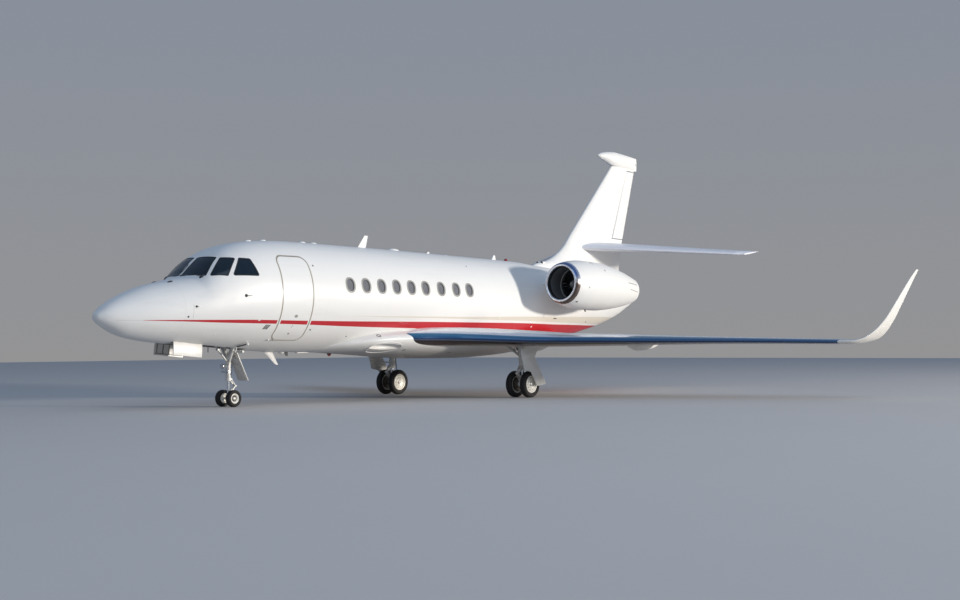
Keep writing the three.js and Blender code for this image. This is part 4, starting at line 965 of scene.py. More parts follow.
def build_rear():
    rear = hull("fuselage_rear_skin", CENTRE_END, TAIL_END)
    y0, y1 = NOSE + TAIL_END - 0.45, NOSE + TAIL_END + 0.1
    boolean(rear, [rod("exhaust", [(0, y0, 2.946), (0, y1, 2.951)], 0.135, 48)])
    dress(rear, "fuselage", "fuselage_paint", nodes=["fuselage_rear"])
    skin_normals(rear)
    pipe = [(-0.44, 0.0), (-0.44, 0.132), (-0.02, 0.132), (0.0, 0.129), (0.0, 0.122), (-0.02, 0.118)]
    pipe += [(-0.40, 0.112), (-0.40, 0.0)]
    place = Matrix.Translation((0, NOSE + TAIL_END - 0.004, 2.9505))
    dress(turned("tail_exhaust_pipe", pipe, 64, place), "burnt", "engine_dark")


# stations and heights of the nose bay and of its forward doors, which stand open by an angle in degrees
BAY = {"front": 1.690, "back": 3.640, "half": 0.275, "roof": 1.570}
BAY_DOOR = {"front": 1.700, "back": 2.440, "thick": 0.022, "hingeX": 0.290, "frontZ": 1.424, "backZ": 1.359,
            "open": 86}


def bay_hinge(side, beyond=0.0):
    """The two ends of a forward bay door's hinge line, moved outwards along it."""
    a = Vector((side * BAY_DOOR["hingeX"], NOSE + BAY_DOOR["front"], BAY_DOOR["frontZ"]))
    b = Vector((side * BAY_DOOR["hingeX"], NOSE + BAY_DOOR["back"], BAY_DOOR["backZ"]))
    along = (b - a).normalized()
    return [a - along * beyond, b + along * beyond]


def glaze(name, corners_list, node):
    """Panes of one side with their dark seals and the frames' inner edges."""
    panes, seals = [], []
    for corners in corners_list:
        pane = hull_shell("pane", *GLAZED, PANE_DEPTH, PANE_DEPTH + GLASS)
        boolean(pane, [pane_prism("keep", corners, -0.0055)], "INTERSECT")
        panes.append(pane)
        seal = hull_shell("seal", *GLAZED, -0.0016, 0.034)
        boolean(seal, [pane_prism("keep", corners, 0.014)], "INTERSECT")
        boolean(seal, [pane_prism("cut", corners, -0.0060)])
        seals.append(seal)
    put_pair(name + "_seal", seals, "rubber_seal", "tyre_rubber")
    for pane in put_pair(name + "_pane", panes, "windscreen", "windscreen_glass", nodes=[node]):
        skin_normals(pane, lambda p: hull_value(p) + PANE_DEPTH)


def build_cabin_windows():
    panes, bezels = [], []
    for station in WINDOW_STATIONS:
        s0, s1 = station - 0.24, station + 0.24
        pane = hull_shell("pane", s0, s1, 0.021, 0.033)
        boolean(pane, [oval(station, -0.0325, 1)], "INTERSECT")
        panes.append(pane)
        bezel = hull_shell("bezel", s0, s1, -0.0025, 0.060)
        boolean(bezel, [oval(station, 0.010, 1, rise_grow=0.006)], "INTERSECT")
        boolean(bezel, [oval(station, -0.033, 1)])
        bezels.append(bezel)
    strip = hull_shell("cabin_lining", 5.66, 10.35, WALL + SEAT, WALL + 0.012)
    boolean(strip, [box("band", 0.5, 2, NOSE, 3, WINDOW_Z - 0.22, WINDOW_Z + 0.23)], "INTERSECT")
    dress_pair(strip, "cabin_lining", "cabin", "cabin_interior")
    put_pair("cabin_window_bezels", bezels, "bezel", "fuselage_paint")
    put_pair("cabin_window_panes", panes, "cabin_glass", "cabin_glass", nodes=["cabin_windows_left"])


def build_door():
    panel = hull_shell("passenger_door_skin", 3.6, 5.05, 0.0, WALL)
    keep = door_prism("keep", -RUN, 0.3, 2.0)
    boolean(keep, door_corner_rings(-RUN))
    boolean(panel, [keep], "INTERSECT")
    dress(panel, "fuselage", "fuselage_paint", "passenger_door", ["passenger_door"])
    skin_normals(panel)
    line_cabin(panel)
    x, z, radius = DOOR_HINGE["x"], DOOR_HINGE["z"], DOOR_HINGE["radius"]
    y0, y1 = NOSE + DOOR["front"], NOSE + DOOR["back"]
    flat_y0, flat_y1 = y0 + DOOR["corner"] / 2 + 0.004, y1 - DOOR["corner"] / 2 - 0.004
    rows = [(y0 - 0.03, 0.0), (y0 - 0.03, 0.008), (flat_y0, 0.008), (flat_y0, radius)]
    rows += [(flat_y1, radius), (flat_y1, 0.008), (y1 + 0.03, 0.008), (y1 + 0.03, 0.0)]
    tube = about_door_hinge("tube", rows, 32)
    inner = DOOR["corner"]
    web = box("web", x - 0.06, x, y0 + inner, y1 - inner, z + RUN, z + RUN + 0.006)
    put("passenger_door_hinge_tube", [tube, web], "bezel", "gear_steel", "passenger_door")

    treads, grips = [], []
    tilt = math.radians(DOOR_OPEN - 90) - math.pi / 2  # the treads lie level when the door is open
    low, high = 1.96, 2.90
    half_width, waist = 1.25, 2.41  # of the hull where the door is
    for k in range(DOOR_TREADS):
        z = low + (high - low) * k / (DOOR_TREADS - 1)
        depth = half_width * math.sqrt(1 - ((z - waist) / half_width) ** 2) - WALL
        place = Matrix.Translation((depth - 0.04, (y0 + y1) / 2, z)) @ Matrix.Rotation(tilt, 4, "Y")
        half = (y1 - y0) / 2 - 0.13
        tread = box("tread", -0.15, 0.15, -half, half, -0.015, 0.010)
        soften(tread, 0.006)
        tread.data.transform(place)
        treads.append(tread)
        for row in range(TREAD_GRIPS):
            x0 = -0.135 + row * 0.042
            grip = box("grip", x0, x0 + 0.022, -half + 0.02, half - 0.02, 0.010, 0.0145)
            grip.data.transform(place)
            grips.append(grip)
    inside = hull("inside", 3.6, 5.05, WALL / 2)
    steps = boolean(join("passenger_door_treads", treads), [copy_of(inside, "inside")], "INTERSECT")
    dress(steps, "cabin", "cabin_interior", "passenger_door")
    grips = boolean(join("passenger_door_tread_grips", grips), [inside], "INTERSECT")
    dress(grips, "rubber_seal", "tyre_rubber", "passenger_door")


def soften(obj, width):
    """Rounds the edges of a hard-edged body."""
    modifier = obj.modifiers.new("soft", "BEVEL")
    modifier.width = width
    modifier.segments = 2
    modifier.limit_method = "ANGLE"
    modifier.angle_limit = math.radians(35)
    bake_modifiers(obj)
    return obj


build_radome()
build_front()
build_centre()
build_rear()
glaze("windscreen", [WINDSCREEN], "windscreen_left")
glaze("cockpit_side_window", SIDE_WINDOWS, "cockpit_side_windows_left")
build_cabin_windows()
build_door()


# ---- wing

# columns: distance from the centre plane, station of the leading edge, of the trailing edge, height, thickness
WING = [
    (1.0, 7.300, 13.120, 1.484, 0.450), (1.3, 7.880, 13.170, 1.482, 0.445), (1.48, 8.480, 13.200, 1.480, 0.440),
    (1.8, 9.130, 13.240, 1.468, 0.425), (2.35, 9.760, 13.310, 1.442, 0.395), (3.3, 10.460, 13.480, 1.406, 0.330),
    (3.7, 10.6756, 13.5733, 1.4024, 0.3122), (4.2, 10.945, 13.690, 1.398, 0.290),
    (6.9, 12.400, 14.320, 1.374, 0.170), (9.3, 13.695, 14.880, 1.334, 0.118),
]
wing_at = table_curves(WING)
SLAT_BACK, BOX_BACK = 0.13, 0.71
SLAT_ROOT = 1.2
FLAP_SPAN = (1.500, 6.860)
AILERON_SPAN = (6.930, 9.255)
AILERON_RIBS = [(6.868, 6.922), (9.278, 9.300)]
AILERON_HINGE = 0.75
PIN_RADIUS, PIN_REACH = 0.010, 0.042
EDGE_HALF = 0.0006  # half the thickness of a sharp edge
TRACK_FAIRINGS = [(1.68, 11.3, 13.08, 1.120), (4.35, 12.3, 14.06, 1.140)]


def aerofoil(share):
    s = np.maximum(share, 0)
    return 5 * (0.2969 * np.sqrt(s) - 0.126 * s - 0.3516 * s**2 + 0.2843 * s**3 - 0.1036 * s**4)


def shares_between(start, end, steps):
    t = np.linspace(0, 1, steps)
    return start + (end - start) * (t * t if start < 0.01 else t)


def section(place, thickness, start, end, steps):
    """Points of an aerofoil between two shares of its chord, upper side first. place gives points."""
    shares = shares_between(start, end, steps)
    half = aerofoil(shares) * thickness + EDGE_HALF
    return np.concatenate([place(shares, half), place(shares, -half)[::-1]])


def chord_place(le, te, sideways):
    """A function from shares of a chord and offsets from it to points. sideways gives a point's X and Z."""

    def place(share, offset):
        share = np.asarray(share, float)
        x, z = sideways(share, offset)
        return np.stack(np.broadcast_arrays(x, NOSE + le + (te - le) * share, z), axis=-1)

    return place


def wing_place(x):
    le, te, z, _ = wing_at(x)
    camber = (te - le) * 0.008
    return chord_place(le, te, lambda share, offset: (x, z + offset + camber * np.sin(math.pi * share)))


def span_marks(x0, x1, step=0.12):
    count = max(2, int(math.ceil((x1 - x0) / step)) + 1)
    return np.linspace(x0, x1, count)


def wing_slice(name, start, end, steps, x0, x1, shift=0.0):
    """A part of the wing between two shares of its chord. shift moves its front back by a distance."""
    rings = []
    for x in span_marks(x0, x1):
        le, te, _, thickness = wing_at(x)
        rings.append(section(wing_place(x), thickness, start + shift / (te - le), end, steps))
    return loft(name, rings)


def control_surface(name, ends, hinges):
    """A control surface with a round nose on its hinge line, and a pin at each end.

    ends are (place, thickness), hinges the hinge line's shares of the chord at both ends.
    """
    (place_a, thick_a), (place_b, thick_b) = ends
    steps = 12
    rings = []
    for share in np.linspace(0, 1, 24):

        def place(back, offset, share=share):
            front, behind = ((h * (1 - back) + back) for h in hinges)
            return place_a(front, offset) * (1 - share) + place_b(behind, offset) * share

        halves = [float(aerofoil(h)) * t for h, t in zip(hinges, (thick_a, thick_b))]
        half = halves[0] * (1 - share) + halves[1] * share
        centre = place(0.0, 0.0)
        up = place(0.0, 1.0) - centre
        aft = place(0.04, 0.0) - centre
        aft /= np.linalg.norm(aft)
        ring = []
        for k in range(steps + 1):
            a = math.radians(-90 - 180 * k / steps)
            ring.append(centre + half * (up * math.sin(a) + aft * math.cos(a)))
        end_top, end_low = place(1.0, 0.0015), place(1.0, -0.0015)
        upper, lower = ring[-1], ring[0]
        ring += [upper * (1 - k / steps) + end_top * (k / steps) for k in range(1, steps + 1)]
        ring += [end_low * (1 - k / steps) + lower * (k / steps) for k in range(steps)]
        rings.append(ring)
    body = loft(name, rings)
    a, b = (Vector(place(h, 0.0)) for place, h in zip((place_a, place_b), hinges))
    along = (b - a).normalized()
    pin = rod("pin", [a - along * PIN_REACH, b + along * PIN_REACH], PIN_RADIUS, 20)
    return join(name, [body, pin])


def oval_ring(sides, y, x, half, z, up, down):
    """A ring across Y round a point, with its own reach upwards and downwards."""
    a = np.arange(sides) * TAU / sides
    rise = np.sin(a)
    return np.stack([x + half * np.cos(a), np.full(sides, y), z + np.where(rise > 0, up * rise, down * rise)], axis=1)


def build_wings():
    top = WING[-1][0]
    main = wing_slice("wing_box", SLAT_BACK, BOX_BACK, 30, WING[0][0], top, SEAT)
    ribs = [wing_slice("rib", BOX_BACK, 1.0, 12, x0, x1, -0.004) for x0, x1 in AILERON_RIBS]
    wing = join("wing", [main, *ribs])
    dress_pair(wing, "wing", "wing", "white_paint", nodes=["wing_left"])
    slat = wing_slice("leading_edge", 0.0, SLAT_BACK, 18, SLAT_ROOT, top)
    dress_pair(slat, "leading_edge", "slat", "polished_slat", nodes=["leading_edge_left"])
    flap = wing_slice("flap", BOX_BACK, 1.0, 16, *FLAP_SPAN, SEAT)
    dress_pair(flap, "flap", "wing", "white_paint", nodes=["flap_left"])
    ends = [(wing_place(x), wing_at(x)[3]) for x in AILERON_SPAN]
    aileron = control_surface("aileron", ends, (AILERON_HINGE, AILERON_HINGE))
    dress_pair(aileron, "aileron", "wing", "white_paint", "aileron_left", ["aileron_left"])

    fairings = []
    sizes = smooth_curve([0, 0.03, 0.12, 0.35, 0.6, 0.85, 1], [0.05, 0.34, 0.62, 1, 0.9, 0.5, 0.06])
    for x, y0, y1, low in TRACK_FAIRINGS:
        rings = []
        top_z = wing_at(x)[2] - 0.02
        for share in np.linspace(0, 1, 40) ** 1.3:
            size = float(sizes(share))
            half, y = 0.075 * size**0.6, NOSE + y0 + (y1 - y0) * share
            rings.append(oval_ring(32, y, x, half, top_z, 0.02, (top_z - low) * size))
        fairings.append(loft("fairing", rings))
    put_pair("flap_track_fairings", fairings, "white", "white_paint")
    build_winglet()


# columns: distance from the centre plane, leading edge, trailing edge, height, thickness, cant in degrees
WINGLET = [
    (9.3003, 13.695, 14.880, 1.334, 0.118, 0), (9.56, 13.835, 14.930, 1.342, 0.108, 8),
    (9.77, 14.020, 14.950, 1.410, 0.090, 28), (9.96, 14.230, 14.970, 1.580, 0.074, 45),
    (10.115, 14.415, 14.990, 1.810, 0.060, 58), (10.345, 14.620, 15.025, 2.270, 0.044, 67),
    (10.59, 14.855, 15.090, 2.800, 0.026, 70), (10.690, 14.990, 15.120, 3.010, 0.012, 70),
]


def build_winglet():
    along = [0.0]
    for a, b in zip(WINGLET, WINGLET[1:]):
        along.append(along[-1] + math.hypot(b[0] - a[0], b[3] - a[3]))
    curves = [smooth_curve(along, [row[k] for row in WINGLET]) for k in range(6)]
    rings = []
    for t in np.linspace(0, along[-1], 60):
        x, le, te, z, thickness, cant = (float(c(t)) for c in curves)
        turn = math.radians(cant)
        up = np.array([-math.sin(turn), 0, math.cos(turn)])

        def place(share, offset):
            start = np.array([x, NOSE + le, z])
            back = np.array([0, te - le, 0])
            return start + np.multiply.outer(share, back) + np.multiply.outer(offset, up)

        rings.append(section(place, thickness, 0.0, 1.0, 26))
    dress_pair(loft("winglet", rings), "winglet", "winglet", "white_paint", nodes=["winglet_left"])


# columns: station, half width, top, height of the widest line, lowest
BELLY = [
    (5.7, 0.42, 1.40, 1.30, 1.168), (6.3, 0.90, 1.56, 1.37, 1.135), (6.9, 1.18, 1.68, 1.43, 1.105),
    (7.45, 1.27, 1.74, 1.46, 1.07), (8.2, 1.33, 1.76, 1.48, 1.02), (9.2, 1.40, 1.77, 1.49, 0.985),
    (10.8, 1.42, 1.77, 1.49, 0.98), (11.9, 1.40, 1.77, 1.50, 1.025), (12.9, 1.33, 1.78, 1.54, 1.12),
    (13.7, 1.12, 1.80, 1.61, 1.25), (14.4, 0.70, 1.80, 1.68, 1.43),
]
belly_at = table_curves(BELLY)
SCOOP = {"front": 6.74, "back": 7.66, "z": 1.265, "height": 0.24, "depth": 0.15}


def belly_value(points):
    """Signed size of points against the belly fairing: 0 on it, positive outside."""
    half, top, waist, low = belly_at(points[:, 1] - NOSE)
    rise = points[:, 2] - waist
    height = np.where(rise > 0, top - waist, waist - low)
    return (np.sqrt((points[:, 0] / half) ** 2 + (rise / height) ** 2) - 1) * np.minimum(half, height)


def belly_place(s, z):
    """A frame on the left of the belly fairing: X forward, Y outward, Z up."""
    half, top, waist, low = (float(v) for v in belly_at(s))
    z = max(min(z, top), low)
    rise = (z - waist) / (top - waist if z > waist else waist - low)
    return surface_frame(belly_value, (half * math.sqrt(max(0.0, 1 - rise * rise)), NOSE + s, z))


def build_belly():
    rings = []
    for s in np.linspace(BELLY[0][0], BELLY[-1][0], 88):
        half, top, waist, low = belly_at(s)
        rings.append(oval_ring(72, NOSE + s, 0, half, waist, top - waist, waist - low))
    belly = loft("belly_fairing_skin", rings)
    middle, reach = (SCOOP["front"] + SCOOP["back"]) / 2, SCOOP["back"] - SCOOP["front"]
    rim = []
    for b in np.arange(40) * TAU / 40:
        s = middle + math.cos(b) * reach / 2
        rim.append(belly_place(s, SCOOP["z"] + math.sin(b) * SCOOP["height"] / 2).translation)
    rim.append(rim[0])
    dress_pair(rod("scoop_rim", rim, 0.011, 10), "scoop_rim", "white", "white_paint", angle=60)
    scoops = []
    for side in (1, -1):
        rows = []
        for u in np.linspace(-0.985, 0.985, 28):
            s = middle + u * reach / 2
            size = math.sqrt(1 - u * u)
            x = side * (belly_place(s, SCOOP["z"]).translation.x + 0.01)
            depth, half = SCOOP["depth"] * size, SCOOP["height"] / 2 * size
            rows.append(oval_ring(28, NOSE + s, x, side * depth, SCOOP["z"], half, half))
        scoops.append(loft("scoop", rows))
    boolean(belly, scoops)
    dress(belly, "fuselage", "white_paint", nodes=["belly_fairing"], angle=40)


# ---- engines

ENGINE = {"x": 2.100, "inlet": 12.720, "z": 2.920, "drop": 2.2}
ENGINE_PLACE = (
    Matrix.Translation((ENGINE["x"], NOSE + ENGINE["inlet"], ENGINE["z"]))
    @ Matrix.Rotation(math.radians(-ENGINE["drop"]), 4, "X")
)
LIP_DEPTH = 0.150
COWL_SIDES = 96
# columns: distance behind the inlet, radius
NACELLE_OUTER = [
    (0.0, 0.470), (0.018, 0.500), (0.060, 0.526), (0.150, 0.552), (0.420, 0.608), (0.900, 0.648),
    (1.450, 0.645), (2.050, 0.590), (2.600, 0.500), (3.050, 0.400), (3.230, 0.352),
]
NACELLE_INNER = [
    (0.0, 0.470), (0.018, 0.440), (0.060, 0.425), (0.150, 0.415), (0.480, 0.412), (0.900, 0.420),
    (1.500, 0.430), (2.600, 0.420), (3.000, 0.370), (3.230, 0.335),
]
CORE = [(0.790, 0.0), (0.790, 0.215), (1.0, 0.265), (2.2, 0.250), (2.7, 0.190), (3.05, 0.0)]
FAN = {"station": 0.640, "radius": 0.398, "hub": 0.130, "shaft": 0.060}
FAN_BLADES = 24
# shares of half the chord and of the thickness round a blade
BLADE_SECTION = [(1, 0), (0.5, 0.8), (-0.3, 1), (-0.85, 0.7), (-1, 0), (-0.85, -0.5), (-0.3, -0.7), (0.5, -0.5)]
CORE_VANES = 6
# columns: distance from the centre plane, leading edge, trailing edge, height, thickness
PYLON = [(0.70, 13.250, 16.500, 2.950, 0.250), (1.90, 13.450, 15.800, 2.900, 0.230)]


def cowl_curve(points):
    """The cowl's radius, as a function of the root of the distance behind the inlet."""
    table = np.asarray(points)
    return smooth_curve(np.sqrt(table[:, 0]), table[:, 1])


def nacelle_profile(points, y0, y1, count):
    """Points of the cowl's outside or inside, close together near the lip."""
    curve = cowl_curve(points)
    return [(t * t, float(curve(t))) for t in np.linspace(math.sqrt(y0), math.sqrt(y1), count)]


def build_engines():
    outer, inner = (nacelle_profile(rows, 0.0, LIP_DEPTH, 14) for rows in (NACELLE_OUTER, NACELLE_INNER))
    lip = turned("inlet_lip", outer + inner[:0:-1], COWL_SIDES, ENGINE_PLACE, closed=True)
    dress_pair(lip, "inlet_lip", "lip", "bare_metal_lip", nodes=["inlet_lip_left"])
    outer, inner = (nacelle_profile(rows, LIP_DEPTH + SEAT, rows[-1][0], 60) for rows in (NACELLE_OUTER, NACELLE_INNER))
    cowl = turned("nacelle", outer + inner[::-1], COWL_SIDES, ENGINE_PLACE, closed=True)
    cowls = dress_pair(cowl, "nacelle", "nacelle", "white_paint", nodes=["nacelle_left"])
    for piece, side in zip(cowls, (1, -1)):
        line_duct(piece, side)
    build_fan()
    build_core()
    rings = []
    for x in np.linspace(PYLON[0][0], PYLON[1][0], 12):
        le, te, z, thickness = straight(PYLON, x)
        place = chord_place(le, te, lambda share, offset: (x, z + offset))
        rings.append(section(place, thickness, 0.0, 1.0, 28))
    dress_pair(loft("pylon", rings), "pylon", "white", "white_paint", nodes=["pylon_left"])


def line_duct(obj, side):
    """Gives the faces of a cowl that look towards the engine's axis the finish of its duct."""
    obj.data.materials.append(M["duct"])
    place = ENGINE_PLACE.copy()
    place[0][3] *= side
    back = place.inverted()
    turn = back.to_3x3()
    for face in obj.data.polygons:
        centre, normal = back @ face.center, turn @ face.normal
        radial = Vector((centre.x, 0, centre.z))
        if radial.length > 0.01 and normal.dot(radial.normalized()) < -0.2:
            face.material_index = 1


def build_fan():
    station, hub, radius = FAN["station"], FAN["hub"], FAN["radius"]
    cone = [(-0.19, 0.0), (-0.188, 0.012), (-0.176, 0.028), (-0.15, 0.047), (-0.115, 0.070), (-0.08, 0.092)]
    cone += [(-0.04, 0.113), (0.0, hub), (0.055, hub + 0.008), (0.11, hub + 0.012), (0.11, 0.0)]
    spinner = turned("fan_spinner", [(station + y, r) for y, r in cone], 64, ENGINE_PLACE)
    dress_pair(spinner, "fan_spinner", "spinner", "fan_titanium", "fan_left")
    blades = []
    for i in range(FAN_BLADES):
        rings = []
        for t in np.linspace(0, 1, 9):
            r = hub - 0.03 + (radius - hub + 0.03) * t
            twist = math.radians(22 + 36 * t)
            half = 0.040 + 0.012 * math.sin(math.pi * min(t * 1.1, 1))
            along = Vector((math.sin(twist), math.cos(twist), 0))
            across = Vector((along.y, -along.x, 0))
            sweep = 0.020 * (t - 0.5) ** 2 - 0.02 * t
            centre = Vector((0.0, station + 0.05 + sweep, r))
            ring = []
            for a, b in BLADE_SECTION:
                bend = 0.006 * (1 - a * a)
                ring.append(centre + along * (a * half) + across * (b * 0.0030 + bend))
            rings.append(ring)
        blade = loft("blade", rings)
        blade.data.transform(ENGINE_PLACE @ Matrix.Rotation(TAU * i / FAN_BLADES, 4, "Y"))
        blades.append(blade)
    y0, y1 = station + 0.10, CORE[0][0] + 0.06
    shaft = turned("shaft", [(y0, 0.0), (y0, FAN["shaft"]), (y1, FAN["shaft"]), (y1, 0.0)], 32, ENGINE_PLACE)
    fan = join("fan", [*blades, shaft])
    dress_pair(fan, "fan_blades", "fan", "fan_titanium", "fan_left", ["fan_left"], 50)


def build_core():
    body = turned("engine_core", [(y, r) for y, r in CORE], 64, ENGINE_PLACE)
    vanes = []
    for i in range(CORE_VANES):
        vane = box("vane", -0.006, 0.006, 0.93, 1.09, 0.225, 0.4205)
        vane.data.transform(ENGINE_PLACE @ Matrix.Rotation(TAU * i / CORE_VANES, 4, "Y"))
        vanes.append(vane)
    core = join("engine_core", [body, *vanes])
    dress_pair(core, "engine_core", "engine", "engine_dark", nodes=["engine_core_left"], angle=40)


# ---- tail

# columns: height, leading edge, trailing edge, thickness
FIN_LOWER = [(3.25, 13.900, 18.600, 0.380), (3.56, 14.350, 18.620, 0.370), (3.70, 14.950, 18.635, 0.350),
             (3.87, 15.350, 18.660, 0.330), (4.15, 15.760, 18.700, 0.305), (4.49, 16.079, 18.818, 0.284)]
FIN_UPPER = [(4.44, 16.030, 18.802, 0.285), (6.70, 18.245, 19.525, 0.165)]
FIN_SPLIT = (4.4899, 4.4901)  # top of the lower part, bottom of the upper part
RUDDER = {"bottom": 4.518, "top": 6.606, "above": 6.632, "hinges": (0.80, 0.68)}
# columns: station, half width, top, lowest
FIN_CAP = [(17.56, 0.018, 6.985, 6.950), (17.64, 0.070, 7.030, 6.895), (17.80, 0.115, 7.075, 6.855),
           (18.05, 0.150, 7.115, 6.785), (18.40, 0.160, 7.140, 6.700), (18.80, 0.135, 7.122, 6.665),
           (19.20, 0.085, 7.098, 6.665), (19.50, 0.040, 7.072, 6.660), (19.64, 0.014, 7.060, 6.668)]
# columns: distance from the centre plane, leading edge, trailing edge, height in front, height behind, thickness
TAILPLANE = [(0.0, 16.360, 18.830, 4.150, 4.350, 0.240), (0.14, 16.460, 18.880, 4.140, 4.340, 0.235),
             (3.70, 19.130, 20.090, 3.905, 4.040, 0.095), (3.87, 19.330, 20.230, 3.900, 4.025, 0.040)]
ELEVATOR_SPAN, ELEVATOR_ENDS, ELEVATOR_HINGES = (0.300, 3.650), (0.274, 3.674), (0.7513, 0.72)


def fin_place(le, te, z):
    return chord_place(le, te, lambda share, offset: (offset, z))


def tail_place(x):
    le, te, z_le, z_te, _ = straight(TAILPLANE, x)
    return chord_place(le, te, lambda share, offset: (x, z_le + (z_te - z_le) * share + offset))


def upper_fin(z):
    """Place and thickness of the fin's upper part at a height."""
    le, te, thickness = straight(FIN_UPPER, z)
    return fin_place(le, te, z), thickness


def build_tail():
    lower_at = table_curves(FIN_LOWER)
    rings = []
    for z in np.linspace(FIN_LOWER[0][0], FIN_SPLIT[0], 24):
        le, te, thickness = (float(v) for v in lower_at(z))
        rings.append(section(fin_place(le, te, z), thickness, 0.0, 1.0, 28))
    lower = loft("fin_root", rings)
    heights = np.linspace(FIN_SPLIT[1], FIN_UPPER[-1][0], 26)
    upper = loft("fin_top", [section(*upper_fin(z), 0.0, 1.0, 28) for z in heights])
    low, high = FIN_SPLIT[1], RUDDER["above"]
    y0, y1 = (upper_fin(z)[0](h - 0.05, 0.0)[1] for z, h in zip((low, high), RUDDER["hinges"]))
    outline = [(y0, low), (y0 + 3.0, low), (y1 + 3.0, high), (y1, high)]
    boolean(upper, [prism("slot", outline, -0.4, 0.4)])
    fin = join("fin_skin", [lower, upper])
    dress(fin, "fin", "white_paint", nodes=["fin"])
    ends = [upper_fin(z) for z in (RUDDER["bottom"], RUDDER["top"])]
    rudder = control_surface("rudder_skin", ends, RUDDER["hinges"])
    dress(rudder, "white", "white_paint", "rudder", ["rudder"])
    cap_at = table_curves(FIN_CAP)
    rings = []
    for s in FIN_CAP[0][0] + (FIN_CAP[-1][0] - FIN_CAP[0][0]) * np.linspace(0, 1, 60) ** 1.5:
        half, top, low = (float(v) for v in cap_at(s))
        rings.append(oval_ring(48, NOSE + s, 0, half, (top + low) / 2, (top - low) / 2, (top - low) / 2))
    dress(loft("fin_cap_skin", rings), "white", "white_paint", nodes=["fin_cap"])

    rings = []
    marks = np.concatenate([np.linspace(0, 0.14, 3), np.linspace(0.26, 3.70, 26), np.linspace(3.74, 3.87, 5)])
    for x in np.concatenate([-marks[:0:-1], marks]):
        thickness = straight(TAILPLANE, abs(x))[4]
        ring = section(tail_place(abs(x)), thickness, 0.0, 1.0, 26)
        ring[:, 0] = x
        rings.append(ring)
    tailplane = loft("tailplane_skin", rings)
    cuts = []
    for side in (1, -1):
        xa, xb = (side * x for x in ELEVATOR_ENDS)
        ya, yb = (tail_place(x)(h - 0.04, 0.0)[1] for x, h in zip(ELEVATOR_ENDS, ELEVATOR_HINGES))
        ring = [(xa, ya), (xb, yb), (xb, yb + 3), (xa, ya + 3)]
        cuts.append(loft("cut", [[(x, y, z) for x, y in ring] for z in (3.6, 4.6)]))
    boolean(tailplane, cuts)
    dress(tailplane, "tail", "white_paint", nodes=["tailplane"])
    ends = [(tail_place(x), straight(TAILPLANE, x)[4]) for x in ELEVATOR_SPAN]
    elevator = control_surface("elevator", ends, ELEVATOR_HINGES)
    dress_pair(elevator, "elevator", "tail", "white_paint", "elevator_left", ["elevator_left"])


build_wings()
build_belly()
build_engines()
build_tail()


# ---- landing gear

NOSE_GEAR = {"x": 0.0, "station": 3.400, "radius": 0.183, "spacing": 0.350, "axle": 0.020}
MAIN_GEAR = {"x": 2.225, "station": 10.930, "radius": 0.330, "spacing": 0.440, "axle": 0.038}
# columns: distance from the wheel's middle plane, radius; outer half of the section, from the bead to the crown
MAIN_TYRE = [(0.0500, 0.1905), (0.0545, 0.204), (0.0610, 0.2165), (0.0720, 0.228), (0.0805, 0.245), (0.0838, 0.262),
             (0.0830, 0.280), (0.0775, 0.299), (0.0670, 0.3155), (0.0540, 0.3245), (0.0420, 0.3280)]
NOSE_TYRE = [(0.0420, 0.0985), (0.0460, 0.105), (0.0550, 0.113), (0.0650, 0.125), (0.0696, 0.141), (0.0680, 0.155),
             (0.0600, 0.169), (0.0480, 0.178), (0.0360, 0.1815)]
MAIN_GROOVES = (-0.0345, -0.0115, 0.0115, 0.0345)
NOSE_GROOVES = (-0.021, 0.0, 0.021)
# outer face and flange of a rim, from the axle out
MAIN_RIM_FACE = [(0.064, 0.0), (0.064, 0.030), (0.061, 0.036), (0.050, 0.040), (0.036, 0.046), (0.032, 0.060),
                 (0.031, 0.075), (0.035, 0.092), (0.042, 0.112), (0.045, 0.135), (0.042, 0.156), (0.036, 0.170),
                 (0.038, 0.180), (0.048, 0.187), (0.058, 0.194), (0.0625, 0.204), (0.0635, 0.212), (0.0600, 0.2158),
                 (0.0565, 0.213), (0.0540, 0.203), (0.0500, 0.1898)]
MAIN_RIM_BACK = [(-0.0500, 0.1898), (-0.0540, 0.203), (-0.0565, 0.213), (-0.0600, 0.2158), (-0.0635, 0.212),
                 (-0.0625, 0.204), (-0.058, 0.194), (-0.046, 0.185), (0.006, 0.181), (0.024, 0.168), (0.030, 0.150),
                 (0.030, 0.125), (0.022, 0.100), (0.018, 0.075), (0.006, 0.056), (-0.040, 0.050), (-0.040, 0.0)]
NOSE_RIM_FACE = [(0.050, 0.0), (0.050, 0.018), (0.047, 0.024), (0.034, 0.028), (0.014, 0.033), (0.010, 0.048),
                 (0.014, 0.064), (0.032, 0.073), (0.040, 0.079), (0.044, 0.090), (0.048, 0.098), (0.0515, 0.104),
                 (0.0505, 0.108), (0.0465, 0.1075), (0.0440, 0.103), (0.0418, 0.0978)]


def wheel_places(gear):
    """Places of a leg's twin wheels. Each turns a body about the Y axis into one about X, with its face outward."""
    places = []
    for outward in (1, -1):
        at = (gear["x"] + outward * gear["spacing"] / 2, NOSE + gear["station"], gear["radius"])
        places.append(Matrix.Translation(at) @ Matrix.Rotation(math.radians(-90 * outward), 4, "Z"))
    return places


